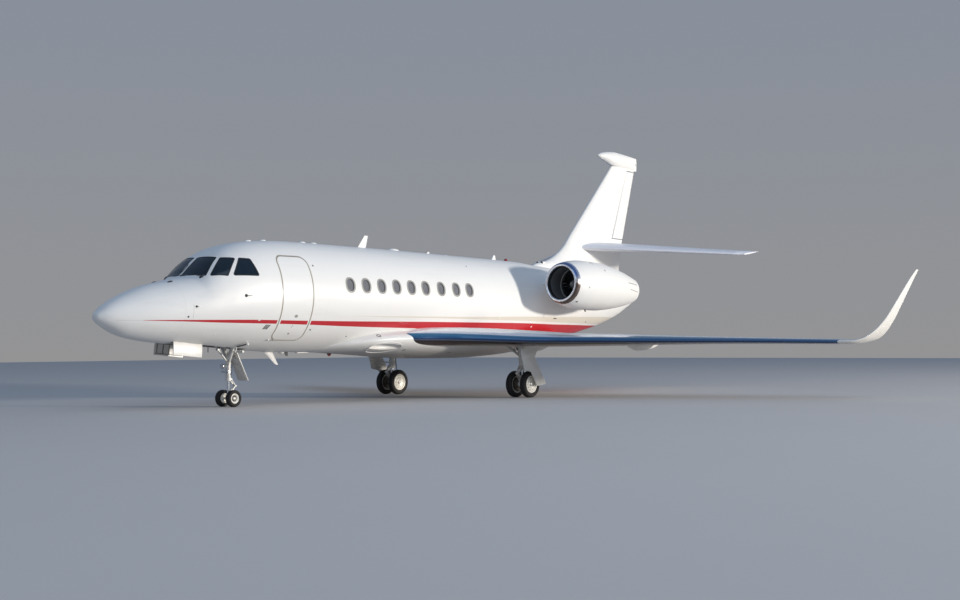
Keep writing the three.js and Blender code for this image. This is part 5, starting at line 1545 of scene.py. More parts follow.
def grooved(half, grooves, crown, wide, deep):
    """The closed section of a tyre from its outer half, with grooves round its tread."""
    shoulder_y, shoulder_r = half[-1]

    def tread(y):
        return crown - (crown - shoulder_r) * (y / shoulder_y) ** 2

    points = list(half)
    for at in sorted(grooves, reverse=True):
        for dy, drop in ((0.5, 0.0), (0.42, 0.8), (0.3, 1.0), (-0.3, 1.0), (-0.42, 0.8), (-0.5, 0.0)):
            y = at + dy * wide
            points.append((y, tread(y) - drop * deep))
    points += [(-y, r) for y, r in reversed(half)]
    return points


def rims_and_tyres(places, rim_section, tyre_section, sides):
    rims = [turned("rim", rim_section, sides, place) for place in places]
    return rims, [turned("tyre", tyre_section, sides, place, closed=True) for place in places]


def across(name, half, y, z, radius, sides, x=0.0):
    """A rod along X, with its middle at a point."""
    return rod(name, [(x - half, y, z), (x + half, y, z)], radius, sides)


def axle(gear, sides):
    return across("axle", gear["spacing"] / 2, NOSE + gear["station"], gear["radius"], gear["axle"], sides, gear["x"])


def rods_round(place, count, at, radius, y0, y1, offset=0.0, sides=6):
    """Rods along an axis, in a ring round it. With six sides they are bolt heads."""
    rods = []
    for k in range(count):
        a = TAU * (k + offset) / count
        x, z = at * math.cos(a), at * math.sin(a)
        rods.append(rod("stud", [(x, y0, z), (x, y1, z)], radius, sides))
        rods[-1].data.transform(place)
    return rods


def build_main_wheels():
    places = wheel_places(MAIN_GEAR)
    section = grooved(MAIN_TYRE, MAIN_GROOVES, MAIN_GEAR["radius"], 0.0048, 0.0065)
    rims, tyres = rims_and_tyres(places, MAIN_RIM_FACE + MAIN_RIM_BACK, section, 112)
    parts, packs = [], []
    for rim, place in zip(rims, places):
        boolean(rim, rods_round(place, 10, 0.136, 0.0125, 0.0, 0.08, sides=16))
        parts += [rim, *rods_round(place, 10, 0.100, 0.0055, 0.030, 0.047, 0.5)]
        parts += rods_round(place, 6, 0.023, 0.0042, 0.060, 0.068)
    wheels = join("rims", [*parts, axle(MAIN_GEAR, 40)])
    dress_pair(wheels, "main_rims", "rim", "wheel_alloy", "main_wheels_left", ["main_left_wheels"], 30)
    for tyre, letter in zip(tyres, "ab"):
        dress_pair(tyre, "main_tyre_" + letter, "tyre", "tyre_rubber", "main_wheels_left",
                   ["main_left_tyre_" + letter], 45)

    for place in places:
        profile = [(-0.098, 0.060), (-0.098, 0.120)]
        for k in range(6):
            y = -0.090 + k * 0.0155
            profile += [(y, 0.156), (y + 0.010, 0.156), (y + 0.0105, 0.146), (y + 0.015, 0.146)]
        profile += [(0.004, 0.140), (0.004, 0.060)]
        packs.append(turned("brake", profile, 72, place, closed=True))
        packs += rods_round(place, 5, 0.105, 0.024, -0.128, -0.096, 0.3, 20)
    put_pair("main_brakes", packs, "burnt", "gear_steel", angle=35)


def build_nose_wheels():
    places = wheel_places(NOSE_GEAR)
    section = grooved(NOSE_TYRE, NOSE_GROOVES, NOSE_GEAR["radius"], 0.004, 0.005)
    back = [(-y, r) for y, r in reversed(NOSE_RIM_FACE[8:])]
    rim_section = NOSE_RIM_FACE + back + [(-0.030, 0.070), (-0.020, 0.035), (-0.040, 0.030), (-0.040, 0.0)]
    rims, tyres = rims_and_tyres(places, rim_section, section, 96)
    parts, dark = [], []
    for rim, place in zip(rims, places):
        parts += [rim, *rods_round(place, 8, 0.087, 0.0035, 0.040, 0.047)]
        parts += rods_round(place, 5, 0.012, 0.0028, 0.048, 0.054)
        # painted shade: a dark ring fills the recess of each rim's face
        recess_shade = [(0.010, 0.0345), (0.0145, 0.035), (0.0155, 0.050), (0.0185, 0.0635), (0.010, 0.0665)]
        dark.append(turned("ring", recess_shade, 64, place, closed=True))
    parts.append(axle(NOSE_GEAR, 32))
    put("nose_rims", parts, "rim", "wheel_alloy", "nose_wheels", ["nose_wheels"], 30)
    put("nose_rim_recess_shades", dark, "engine", "engine_dark", "nose_wheels")
    for tyre, letter in zip(tyres, "ab"):
        tyre.name = "nose_tyre_skin_" + letter
        dress(tyre, "tyre", "tyre_rubber", "nose_wheels", ["nose_tyre_" + letter], 45)


def link(name, a, b, wide_a, wide_b, thick):
    """A flat arm between two points, wide along X, with a window through it."""
    a, b = Vector(a), Vector(b)
    across_arm = Vector((1, 0, 0))
    up = (b - a).normalized().cross(across_arm).normalized() * thick / 2
    rings = []
    for t in (0.0, 0.12, 0.88, 1.0):
        centre = a.lerp(b, t)
        w = across_arm * ((wide_a + (wide_b - wide_a) * t) / 2)
        h = up if 0 < t < 1 else up * 0.6
        rings.append([centre + w + h, centre - w + h, centre - w - h, centre + w - h])
    c, d = a.lerp(b, 0.24), a.lerp(b, 0.76)
    wc, wd = (across_arm * ((wide_a + (wide_b - wide_a) * t) / 2 * 0.5) for t in (0.24, 0.76))
    hole = [c + wc, d + wd, d - wd, c - wc]
    arm = boolean(loft(name, rings), [loft("eye", [[p + up * 3 for p in hole], [p - up * 3 for p in hole]])])
    return soften(arm, thick * 0.12)


def collar(x, y, z0, z1, radius):
    """A disc with eased edges about an upright axis."""
    edge = 0.004
    rows = [(z0, 0.0), (z0, radius - edge), (z0 + edge, radius), (z1 - edge, radius), (z1, radius - edge), (z1, 0.0)]
    return turned("collar", rows, 48, Matrix.Translation((x, y, 0)) @ Matrix.Rotation(math.radians(90), 4, "X"))


def smooth_path(points, count=40):
    """Points on a smooth curve through a few points, for hoses and wires."""
    points = [Vector(p) for p in points]
    reach = [0.0]
    for a, b in zip(points, points[1:]):
        reach.append(reach[-1] + (b - a).length)
    curves = [smooth_curve(reach, [p[k] for p in points]) for k in range(3)]
    return [tuple(float(curve(t)) for curve in curves) for t in np.linspace(0, reach[-1], count)]


def hose(name, points, radius, sides=10, count=40):
    return rod(name, smooth_path(points, count), radius, sides)


def build_nose_leg():
    y = NOSE + NOSE_GEAR["station"]
    white = [rod("cylinder", [(0, y, z) for z in (0.6405, 0.655, 0.66, 1.02, 1.10)],
                 [0.056, 0.056, 0.052, 0.056, 0.058], 40)]
    steel, black = [], []
    for side in (1, -1):
        white.append(rod("yoke", [(side * 0.02, y, 0.96), (side * 0.225, y - 0.02, 1.36)], [0.034, 0.040], 28))
        steel.append(rod("brace_end", [(side * 0.10, y - 0.48, 1.44), (side * 0.2747, y - 0.48, 1.44)], 0.020, 20))
        steel.append(rod("fork", [(side * 0.03, y + 0.03, 1.05), (side * 0.07, y + 0.165, 1.06)], 0.013, 16))
    outline = [(-0.005, 0.93), (0.005, 0.93), (0.05, 0.99), (0.205, 1.31), (0.205, 1.345), (-0.205, 1.345)]
    outline += [(-0.205, 1.31), (-0.05, 0.99)]
    web = loft("yoke_web", [[(px, y + dy, pz) for px, pz in outline] for dy in (-0.030, 0.014)])
    window = [(-0.035, 1.13), (0.035, 1.13), (0.110, 1.29), (-0.110, 1.29)]
    boolean(web, [loft("window", [[(px, y + dy, pz) for px, pz in window] for dy in (-0.1, 0.1)])])
    white += [
        soften(web, 0.005),
        across("trunnion", 0.2747, y - 0.02, 1.36, 0.030, 32),
        rod("brace_low", [(0, y - 0.06, 1.0), (0, y - 0.30, 1.2533)], [0.023, 0.019], 24),
        rod("brace_high", [(0, y - 0.28, 1.232), (0, y - 0.48, 1.44)], 0.021, 24),
        across("brace_knee", 0.036, y - 0.29, 1.243, 0.028, 24),
        across("brace_bar", 0.11, y - 0.48, 1.44, 0.027, 28),
    ]
    for z0, z1, radius in ((0.662, 0.690, 0.060), (0.80, 0.83, 0.064), (0.93, 0.955, 0.064), (1.06, 1.085, 0.066)):
        white.append(collar(0, y, z0, z1, radius))
    steel += [
        across("actuator", 0.105, y - 0.075, 0.760, 0.027, 28),
        across("actuator_rod", 0.150, y - 0.075, 0.760, 0.012, 20),
        box("bracket", -0.045, 0.045, y - 0.085, y - 0.040, 0.735, 0.785),
        rod("lock", [(0, y + 0.045, 0.98), (0, y + 0.10, 1.16), (0, y + 0.085, 1.30)], [0.014, 0.012, 0.012], 20),
    ]
    lamp_x, lamp_z = (0.400, 0.478), 1.190
    white.append(rod("lamp_arm", [(0.03, y, lamp_z), (0.478, y, lamp_z)], 0.0125, 16))
    lamps = []
    for x in lamp_x:
        cup = [(-0.040, 0.0300), (-0.040, 0.0355), (-0.020, 0.0360), (0.010, 0.034), (0.026, 0.020), (0.030, 0.0)]
        cup += [(0.022, 0.0), (0.008, 0.026)]
        place = Matrix.Translation((x, y, lamp_z))
        white.append(turned("lamp_cup", cup, 40, place))
        lamps.append(turned("lamp_glass", [(-0.038, 0.0), (-0.038, 0.029), (-0.034, 0.030), (-0.030, 0.0)], 40, place))
    taxi = Matrix.Translation((0.0, y - 0.135, 0.880)) @ Matrix.Rotation(math.radians(4), 4, "X")
    cup = [(-0.052, 0.050), (-0.052, 0.058), (-0.030, 0.059), (0.012, 0.052), (0.038, 0.030), (0.044, 0.0)]
    cup += [(0.034, 0.0), (0.010, 0.044)]
    steel.append(turned("taxi_cup", cup, 56, taxi))
    lamps.append(turned("taxi_glass", [(-0.048, 0.0), (-0.049, 0.048), (-0.044, 0.050), (-0.038, 0.0)], 56, taxi))
    steel.append(rod("taxi_arm", [(0, y - 0.10, 0.880), (0, y - 0.045, 0.880)], 0.012, 16))
    for side in (1, -1):
        path = [(side * 0.040, y + 0.045, 1.12), (side * 0.060, y + 0.052, 0.95), (side * 0.058, y + 0.045, 0.75)]
        black.append(hose("hose", [*path, (side * 0.050, y + 0.020, 0.665)], 0.006))
    black.append(hose("wire", [(0.05, y - 0.02, 1.30), (0.064, y - 0.03, 1.10), (0.062, y - 0.045, 0.92),
                               (0.02, y - 0.085, 0.885)], 0.004))
    put("nose_leg_casting", white, "gear", "gear_paint", nodes=["nose_leg"], angle=35)
    put("nose_leg_fittings", steel, "steel", "gear_steel", angle=35)
    put("nose_leg_hoses", black, "rubber_seal", "tyre_rubber", angle=60)
    put("nose_lamp_glass", lamps, "lamp", "cabin_glass", angle=35)

    piston = rod("nose_strut_piston", [(0, y, 0.200), (0, y, 0.575)], 0.030, 40)
    dress(piston, "chrome", "gear_steel", "nose_strut", ["nose_strut"])
    foot = join("nose_strut_foot", [
        collar(0, y, 0.560, 0.638, 0.066),
        rod("pivot", [(0, y, 0.62), (0, y, 0.70)], 0.034, 24),
        across("foot", 0.060, y, 0.183, 0.042, 40),
        rod("foot_neck", [(0, y, 0.205), (0, y, 0.262)], [0.040, 0.034], 32),
    ])
    parts = [
        boolean(foot, [across("axle_hole", 0.1, y, 0.183, 0.0203, 32)]),
        link("upper_link", (0, y + 0.050, 0.598), (0, y + 0.185, 0.450), 0.100, 0.060, 0.026),
        link("lower_link", (0, y + 0.185, 0.450), (0, y + 0.030, 0.285), 0.060, 0.090, 0.024),
        across("knee", 0.040, y + 0.185, 0.450, 0.018, 20),
        across("eye", 0.048, y + 0.034, 0.290, 0.016, 20),
        across("eye", 0.054, y + 0.052, 0.598, 0.017, 20),
    ]
    put("nose_strut_links", parts, "gear", "gear_paint", "nose_strut", angle=35)


def build_main_leg():
    x, radius = MAIN_GEAR["x"], MAIN_GEAR["radius"]
    y = NOSE + MAIN_GEAR["station"]
    white = [rod("cylinder", [(x, y, 0.70), (x, y, 0.72), (x, y, 0.725), (x - 0.022, y, 1.18), (x - 0.03, y, 1.40)],
                 [0.090, 0.090, 0.082, 0.089, 0.092], 48)]
    for z0, z1, r in ((0.745, 0.775, 0.092), (0.90, 0.93, 0.094), (1.08, 1.11, 0.097)):
        white.append(collar(x - 0.030 * (z0 - 0.7) / 0.66, y, z0, z1, r))
    white += [
        rod("brace_low", [(x - 0.04, y, 1.01), (x - 0.30, y, 1.17)], [0.036, 0.030], 32),
        rod("brace_high", [(x - 0.28, y, 1.158), (x - 0.545, y, 1.3208)], [0.030, 0.033], 32),
        rod("brace_knee", [(x - 0.29, y - 0.05, 1.164), (x - 0.29, y + 0.05, 1.164)], 0.038, 28),
        across("foot", 0.075, y, radius, 0.078, 48, x),
        rod("foot_neck", [(x, y, radius + 0.04), (x, y, radius + 0.14)], [0.074, 0.056], 40),
    ]
    leg = join("main_leg_casting", white)
    parts = [
        boolean(leg, [across("axle_hole", 0.15, y, radius, 0.0384, 32, x)]),
        link("upper_link", (x, y - 0.075, 0.765), (x, y - 0.210, 0.600), 0.130, 0.080, 0.034),
        link("lower_link", (x, y - 0.210, 0.600), (x, y - 0.050, 0.415), 0.080, 0.120, 0.032),
        across("knee", 0.05, y - 0.210, 0.600, 0.024, 24, x),
        across("eye", 0.064, y - 0.078, 0.765, 0.022, 24, x),
        across("eye", 0.060, y - 0.052, 0.418, 0.021, 24, x),
    ]
    for z in (0.860, 1.150):
        parts.append(rod("door_arm", [(x, y - 0.06, z), (2.5846, y - 0.15, z)], 0.017, 20))
        parts.append(box("door_foot", 2.570, 2.5846, y - 0.185, y - 0.115, z - 0.035, z + 0.035))
    put_pair("main_leg_casting", parts, "gear", "gear_paint", nodes=["main_leg_left"], angle=35)
    piston = rod("piston", [(x, y, 0.42), (x, y, 0.705)], 0.050, 48)
    dress_pair(piston, "main_piston", "chrome", "gear_steel")
    steel = [
        rod("jack", [(x - 0.06, y + 0.07, 1.02), (x - 0.30, y + 0.16, 1.22)], 0.030, 28),
        rod("jack_rod", [(x - 0.29, y + 0.156, 1.212), (x - 0.42, y + 0.205, 1.32)], 0.016, 24),
        rod("lock", [(x - 0.29, y - 0.03, 1.17), (x - 0.16, y - 0.03, 1.29)], 0.013, 20),
    ]
    put_pair("main_leg_jacks", steel, "steel", "gear_steel", angle=35)
    black = []
    for side in (1, -1):
        path = [(x + side * 0.050, y + 0.085, 1.15), (x + side * 0.055, y + 0.100, 0.86)]
        path += [(x + side * 0.075, y + 0.120, 0.62), (x + side * 0.098, y + 0.095, 0.46)]
        black.append(hose("hose", [*path, (x + side * 0.100, y + 0.055, 0.41)], 0.008))
        path = [(x + side * 0.030, y + 0.094, 1.15), (x + side * 0.030, y + 0.108, 0.84)]
        path += [(x + side * 0.045, y + 0.115, 0.60), (x + side * 0.070, y + 0.045, 0.36)]
        black.append(hose("wire", path, 0.005))
    put_pair("main_leg_hoses", black, "rubber_seal", "tyre_rubber", angle=60)


LEG_DOOR_X = 2.585
LEG_DOOR = [(10.370, 1.215), (11.060, 1.215), (10.930, 1.000), (11.400, 0.330), (11.030, 0.285), (10.790, 0.640),
            (10.520, 0.690), (10.430, 0.960)]


def rounded(corners, radius):
    """A polygon with its corners rounded."""
    steps = 5
    points = [Vector(c).to_2d() for c in corners]
    result = []
    for i, p in enumerate(points):
        before, after = points[i - 1] - p, points[(i + 1) % len(points)] - p
        reach = min(radius, before.length * 0.45, after.length * 0.45)
        a, b = p + before.normalized() * reach, p + after.normalized() * reach
        for k in range(steps + 1):
            t = k / steps
            result.append(tuple((a.lerp(p, t)).lerp(p.lerp(b, t), t)))
    return result


def build_gear_doors():
    y = NOSE + NOSE_GEAR["station"]
    outline = rounded([(NOSE + s, z) for s, z in LEG_DOOR], 0.035)
    panel = soften(prism("panel", outline, LEG_DOOR_X, LEG_DOOR_X + 0.024), 0.004)
    dress_pair(panel, "main_leg_door_panel", "gear_door", "gear_door_paint", nodes=["main_leg_door_left"])
    ribs = []
    for (s0, z0), (s1, z1) in (((10.50, 1.10), (10.92, 1.10)), ((10.49, 0.90), (10.93, 0.90)),
                               ((10.62, 0.74), (11.04, 0.74)), ((10.86, 0.62), (11.13, 0.62)),
                               ((10.97, 0.46), (11.24, 0.46))):
        ribs.append(rod("rib", [(LEG_DOOR_X + 0.001, NOSE + s0, z0), (LEG_DOOR_X + 0.001, NOSE + s1, z1)], 0.009, 12))
    put_pair("main_leg_door_ribs", ribs, "gear_door", "gear_door_paint")

    corners = [(y + 0.095, 1.180), (y + 0.120, 1.180), (y + 0.440, 0.560), (y + 0.415, 0.555)]
    door = soften(prism("nose_leg_door_panel", corners, -0.165, 0.165), 0.006)
    dress(door, "gear_door", "gear_door_paint", nodes=["nose_leg_door"])
    ribs = []
    for side in (1, -1):
        ribs.append(rod("rib", [(side * 0.11, y + 0.094, 1.150), (side * 0.11, y + 0.405, 0.575)], 0.008, 12))
    for t in (0.15, 0.4, 0.65, 0.9):
        ribs.append(across("rib", 0.15, y + 0.094 + (0.405 - 0.094) * t, 1.150 + (0.575 - 1.150) * t, 0.008, 12))
    put("nose_leg_door_ribs", ribs, "gear_door", "gear_door_paint")

    front, back, thick = BAY_DOOR["front"], BAY_DOOR["back"], BAY_DOOR["thick"]
    skin = hull_shell("leaf", RADOME_END + 0.01, 2.6, 0.0, thick)
    leaf = boolean(skin, [box("keep", RUN, BAY_DOOR["hingeX"], NOSE + front, NOSE + back, 0.5, 1.5)], "INTERSECT")
    inner = hull_shell("inner", RADOME_END + 0.01, 2.6, thick - 0.002, thick + 0.010)
    stations = np.linspace(front + 0.05, back - 0.07, 5)
    ribs = [box("rib", 0.03, 0.26, NOSE + s, NOSE + s + 0.020, 0.5, 1.5) for s in stations]
    ribs += [box("rib", x, x + 0.018, NOSE + front + 0.02, NOSE + back - 0.02, 0.5, 1.5) for x in (0.030, 0.240)]
    frames = boolean(inner, [boolean(ribs[0], ribs[1:], "UNION")], "INTERSECT")
    a, b = bay_hinge(1)
    tube = rod("tube", [a, b], 0.009, 20)
    along = (b - a).normalized()
    pins = rod("pins", [a - along * 0.020, b + along * 0.020], 0.006, 16)
    swing = (Matrix.Translation(a) @ Matrix.Rotation(-math.radians(BAY_DOOR["open"]), 4, along)
             @ Matrix.Translation(-a))
    for part in (leaf, frames):
        part.data.transform(swing)
    dress_pair(leaf, "nose_bay_door_leaf", "gear_door", "gear_door_paint", "nose_bay_door_left",
               ["nose_bay_door_left"])
    put_pair("nose_bay_door_frame", [frames, tube, pins], "primer", "gear_door_paint", "nose_bay_door_left")


def build_bay_liner():
    """The inside of the nose bay: its lining, frames and pipes."""
    y0, y1 = NOSE + BAY["front"] + 0.003, NOSE + BAY["back"] - 0.003
    half, roof = BAY["half"] - 0.003, BAY["roof"] - 0.003
    liner = box("nose_bay_liner", -half, half, y0, y1, 0.9, roof)
    boolean(liner, [box("room", -half + 0.006, half - 0.006, y0 + 0.006, y1 - 0.006, 0.8, roof - 0.006)])
    inside = hull("inside", RADOME_END + 0.02, 4.2, 0.004)
    boolean(liner, [inside], "INTERSECT", keep=True)
    marks = np.linspace(y0 + 0.12, y1 - 0.14, 8)
    frames = [box("frame", -half + 0.005, half - 0.005, y, y + 0.016, roof - 0.050, roof - 0.004) for y in marks]
    for side in (1, -1):
        for y in marks:
            x0, x1 = sorted((side * (half - 0.026), side * (half - 0.005)))
            frames.append(box("frame", x0, x1, y, y + 0.014, 1.0, roof - 0.004))
    frames = boolean(frames[0], frames[1:], "UNION")
    boolean(frames, [hull("inside", RADOME_END + 0.02, 4.2, 0.012)], "INTERSECT")
    delete(inside)
    for part in (liner, frames):  # leaves room for the closed doors and their frames
        boolean(part, [hull_shell("zone", RADOME_END + 0.02, BAY_DOOR["back"] + 0.02, -0.02, 0.042)])
    put("nose_bay_lining", [liner, frames], "primer", "gear_paint", angle=30)
    pipes = []
    for x, z, r in ((0.18, 1.535, 0.007), (0.15, 1.540, 0.005), (-0.19, 1.532, 0.008), (-0.16, 1.54, 0.005)):
        path = [(x, y0 + 0.02, z), (x, y0 + 0.5, z), (x * 0.9, y0 + 0.9, z), (x, y1 - 0.3, z), (x, y1 - 0.02, z)]
        pipes.append(hose("pipe", path, r))
    put("nose_bay_pipes", pipes, "steel", "gear_steel", angle=60)


build_main_wheels()
build_nose_wheels()
build_nose_leg()
build_main_leg()
build_gear_doors()
build_bay_liner()


# ---- small fittings


def skin_place(s, z):
    """A frame on the left of the skin at a station and height: X forward, Y outward, Z up."""
    crown, keel, waist, half, fullness = (float(v) for v in hull_at(s))
    rise = max(min(z, crown), keel) - waist
    power = fullness if rise > 0 else 2.0
    height = crown - waist if rise > 0 else waist - keel
    x = half * max(0.0, 1 - (abs(rise) / height) ** power) ** (1 / power)
    return surface_frame(hull_value, (x, NOSE + s, waist + rise))


def cowl_place(back, degrees):
    """A frame on the left engine's cowl, at a distance behind its inlet and an angle up from its outer side."""
    a = math.radians(degrees)
    radius = float(cowl_radius(math.sqrt(back)))
    outward = Vector((math.cos(a), 0, math.sin(a)))
    forward = Vector((0, -1, 0))
    axes = Matrix((forward, outward, forward.cross(outward))).transposed().to_4x4()
    return ENGINE_PLACE @ Matrix.Translation((outward.x * radius, back, outward.z * radius)) @ axes


cowl_radius = cowl_curve(NACELLE_OUTER)


def disc(place, radius, height=0.003, stretch=1.0, sides=28):
    """A low round button on a surface, longer along X where it is stretched."""
    profile = [(-0.006, 0.0), (-0.006, radius), (height * 0.5, radius), (height, radius * 0.88), (height, 0.0)]
    return turned("disc", profile, sides, place @ Matrix.Diagonal((stretch, 1, 1, 1)))


def ring(place, radius, wide, height=0.003):
    """A low round rim on a surface."""
    profile = [(-0.005, radius - wide), (-0.005, radius), (height * 0.6, radius), (height, radius - wide * 0.3),
               (height, radius - wide * 0.7), (height * 0.6, radius - wide)]
    return turned("ring", profile, 40, place, closed=True)


def blade(place, outline, thick, edge=0.25):
    """A thin blade that stands on a surface. The outline is in (forward, outward), and its edges are eased."""
    centre = Vector((sum(p[0] for p in outline), sum(p[1] for p in outline))) / len(outline)
    rings = []
    for z, share in ((-0.5, 1 - edge * 0.3), (-0.5 + edge, 1.0), (0.5 - edge, 1.0), (0.5, 1 - edge * 0.3)):
        rings.append([
            (centre.x + (x - centre.x) * share, y if y <= 0 else centre.y + (y - centre.y) * share, z * thick)
            for x, y in outline
        ])
    piece = loft("blade", rings)
    piece.data.transform(place)
    return piece


def dome(place, radius, height, stretch=1.0):
    """A round cap on a surface, longer along X where it is stretched."""
    profile = [(-0.012, 0.0), (-0.012, radius), (0.0, radius)]
    profile += [(height * math.sin(a), radius * math.cos(a)) for a in np.linspace(0.12, 1.45, 8)]
    profile.append((height, 0.0))
    return turned("dome", profile, 32, place @ Matrix.Diagonal((stretch, 1, 1, 1)))


def slat_mark(place, x, half, lean, wide=0.013):
    """A dark slanted louvre on the skin."""
    outline = [(x - lean - wide, -half), (x - lean + wide, -half), (x + lean + wide, half), (x + lean - wide, half)]
    piece = loft("louvre", [[(px, y, pz) for px, pz in outline] for y in (-0.006, 0.003)])
    piece.data.transform(place)
    return piece


WIPER = (2.190, 2.758)  # station and height of a wiper's pivot
# columns: station, height, radius
DARK_BUTTONS = [(1.848, 2.121, 0.024), (1.686, 1.910, 0.020), (4.899, 3.075, 0.022), (4.887, 1.662, 0.020),
                (15.973, 1.954, 0.022), (6.12, 1.52, 0.016), (10.4, 3.30, 0.018)]
PALE_BUTTONS = [(3.368, 1.870, 0.034), (12.861, 1.786, 0.026), (2.45, 1.56, 0.020), (11.35, 1.99, 0.018)]


def build_side_fittings():
    dark = [disc(skin_place(s, z), r) for s, z, r in DARK_BUTTONS]
    pale = [disc(skin_place(s, z), r) for s, z, r in PALE_BUTTONS]
    vane = skin_place(2.965, 2.365)
    dark.append(disc(vane, 0.034, 0.005))
    dark.append(blade(vane, [(0.012, 0.0), (-0.014, 0.046), (-0.128, 0.042), (-0.124, 0.024), (-0.030, 0.0)], 0.008))
    probe = skin_place(1.848, 2.121)
    dark.append(blade(probe, [(0.012, 0.0), (0.004, 0.050), (-0.040, 0.046), (-0.030, 0.0)], 0.007))
    vent = skin_place(3.625, 1.715)
    dark += [slat_mark(vent, x, 0.058, -0.026) for x in (-0.046, 0.0, 0.046)]
    drain = skin_place(13.868, 2.027)
    dark.append(blade(drain, [(0.03, 0.0), (-0.010, 0.060), (-0.045, 0.060), (-0.03, 0.0)], 0.014))

    mast = skin_place(3.401, 1.397)
    pale.append(rod("mast", [mast @ Vector((0, -0.01, 0)), mast @ Vector((0, 0.040, 0))], 0.012, 16))
    pale.append(turned("lamp", [(0.024, 0.0), (0.026, 0.016), (0.044, 0.034), (0.064, 0.034), (0.082, 0.016),
                                (0.084, 0.0)], 24, mast))
    arm = [mast @ Vector((0, 0.050, 0)), skin_place(3.235, 1.335) @ Vector((0, 0.045, 0))]
    dark.append(rod("arm", arm, 0.015, 16))
    pale.append(rod("foot", [arm[1], arm[1] + Vector((-0.02, -0.02, -0.115))], 0.014, 16))

    s, z = WIPER
    dark.append(dome(skin_place(s, z), 0.034, 0.020, 1.9))
    path = [skin_place(s + ds, z + dz) @ Vector((0, out, 0))
            for ds, dz, out in ((0, 0, 0.016), (-0.11, 0.050, 0.020), (-0.02, 0.16, 0.016), (0.14, 0.30, 0.014))]
    dark.append(hose("wiper", path, 0.0065, 10, 16))
    dark.append(dome(skin_place(1.640, 2.640), 0.034, 0.020, 1.9))
    put_pair("skin_ports", dark, "panel", "tyre_rubber", angle=40)
    put_pair("skin_caps", pale, "white", "white_paint", angle=40)

    marks = [disc(skin_place(4.334, 1.952), 0.036, 0.002, 1.3), disc(skin_place(4.321, 1.577), 0.026)]
    marks.append(slat_mark(skin_place(4.313, 1.732), 0.0, 0.030, -0.012, 0.006))
    put("passenger_door_handle", marks, "bezel", "fuselage_paint", "passenger_door", angle=40)


# columns: distances behind the inlet and angles of both ends of a dark line on the cowl
COWL_LINES = [(2.466, 3.08, 16.8, 20.1), (2.572, 3.11, -1.8, -8.1), (2.466, 3.08, 163, 160), (2.572, 3.11, 182, 188)]
# outlines of the blade antennas, as stations and heights
CROWN_BLADE = [(7.328, 3.600), (7.633, 3.600), (7.730, 3.960), (7.610, 3.960)]
BELLY_BLADE = [(4.380, 1.215), (4.637, 1.215), (4.840, 0.882), (4.740, 0.898)]


def antenna(name, outline, base_s, base_z):
    """A swept blade with a lens-shaped section on a thin oval foot."""
    low_front, low_back, high_back, high_front = (np.array(p) for p in outline)
    rings = []
    for t in np.linspace(0, 1, 14):
        front, back = low_front + (high_front - low_front) * t, low_back + (high_back - low_back) * t
        ring_points = []
        half = 0.017 * (1 - 0.45 * t)
        for share, side in [(k / 8, 1) for k in range(9)] + [(k / 8, -1) for k in range(7, 0, -1)]:
            s, z = front + (back - front) * share
            ring_points.append((side * half * math.sin(math.pi * share) ** 0.7 + 1e-4 * side, NOSE + s, z))
        rings.append(ring_points)
    piece = loft(name, rings)
    foot = disc(skin_place(base_s, base_z), 0.050, 0.006, 3.6, 40)
    return put(name, [piece, foot], "white", "white_paint", angle=45)


def build_antennas():
    antenna("crown_blade_antenna", CROWN_BLADE, 7.49, 4.0)
    antenna("belly_blade_antenna", BELLY_BLADE, 4.51, 0.5)
    white = [dome(skin_place(s, 9), r, h, k) for s, r, h, k in
             ((3.95, 0.050, 0.030, 1.7), (4.38, 0.050, 0.030, 1.7), (5.57, 0.060, 0.036, 1.5),
              (5.92, 0.060, 0.036, 1.5), (8.62, 0.105, 0.050, 1.7), (10.6, 0.040, 0.016, 1.4))]
    cone = skin_place(12.55, 9)
    white.append(blade(cone, [(0.10, 0.0), (0.02, 0.135), (-0.05, 0.135), (-0.09, 0.0)], 0.045, 0.4))
    white.append(dome(skin_place(4.93, 0), 0.060, 0.045, 1.3))
    white.append(blade(skin_place(9.9, 9), [(0.05, 0.0), (0.0, 0.05), (-0.06, 0.05), (-0.05, 0.0)], 0.014))
    white.append(blade(skin_place(5.55, 0), [(0.20, 0.0), (0.18, 0.022), (-0.18, 0.022), (-0.20, 0.0)], 0.09))
    put("small_antennas", white, "white", "white_paint", angle=45)
    dark = [blade(skin_place(5.06, 0), [(0.05, 0.0), (-0.01, 0.085), (-0.07, 0.085), (-0.06, 0.0)], 0.018),
            disc(skin_place(13.09, 9), 0.062, 0.016), disc(belly_place(6.42, 0.95), 0.055, 0.016)]
    put("small_antennas_dark", dark, "panel", "tyre_rubber", angle=45)
    lights = [dome(skin_place(13.09, 9) @ Matrix.Translation((0, 0.014, 0)), 0.050, 0.062),
              dome(belly_place(6.42, 0.95) @ Matrix.Translation((0, 0.014, 0)), 0.045, 0.050)]
    put("beacons", lights, "beacon", "cabin_glass", angle=45)

    hoods, mouth_shades = [], []
    for s in (14.62, 14.82):
        z = float(hull_at(s)[0]) + 0.115
        front = Vector((0.075, NOSE + s, z))
        line = [front, front + Vector((0, 0.03, 0)), front + Vector((0, 0.16, 0)), front + Vector((0, 0.26, -0.01))]
        hoods.append(rod("hood", line, [0.046, 0.050, 0.040, 0.012], 24))
        hoods.append(rod("stem", [front + Vector((0, 0.07, 0)), front + Vector((-0.05, 0.09, -0.13))], 0.030, 20))
        # painted shade: a dark disc closes each hood's mouth in place of its shaded inside
        mouth_shades.append(rod("mouth", [front - Vector((0, 0.002, 0)), front + Vector((0, 0.01, 0))], 0.043, 24))
    put_pair("fin_scoops", hoods, "white", "white_paint", angle=45)
    put_pair("fin_scoop_mouth_shades", mouth_shades, "engine", "engine_dark", angle=45)


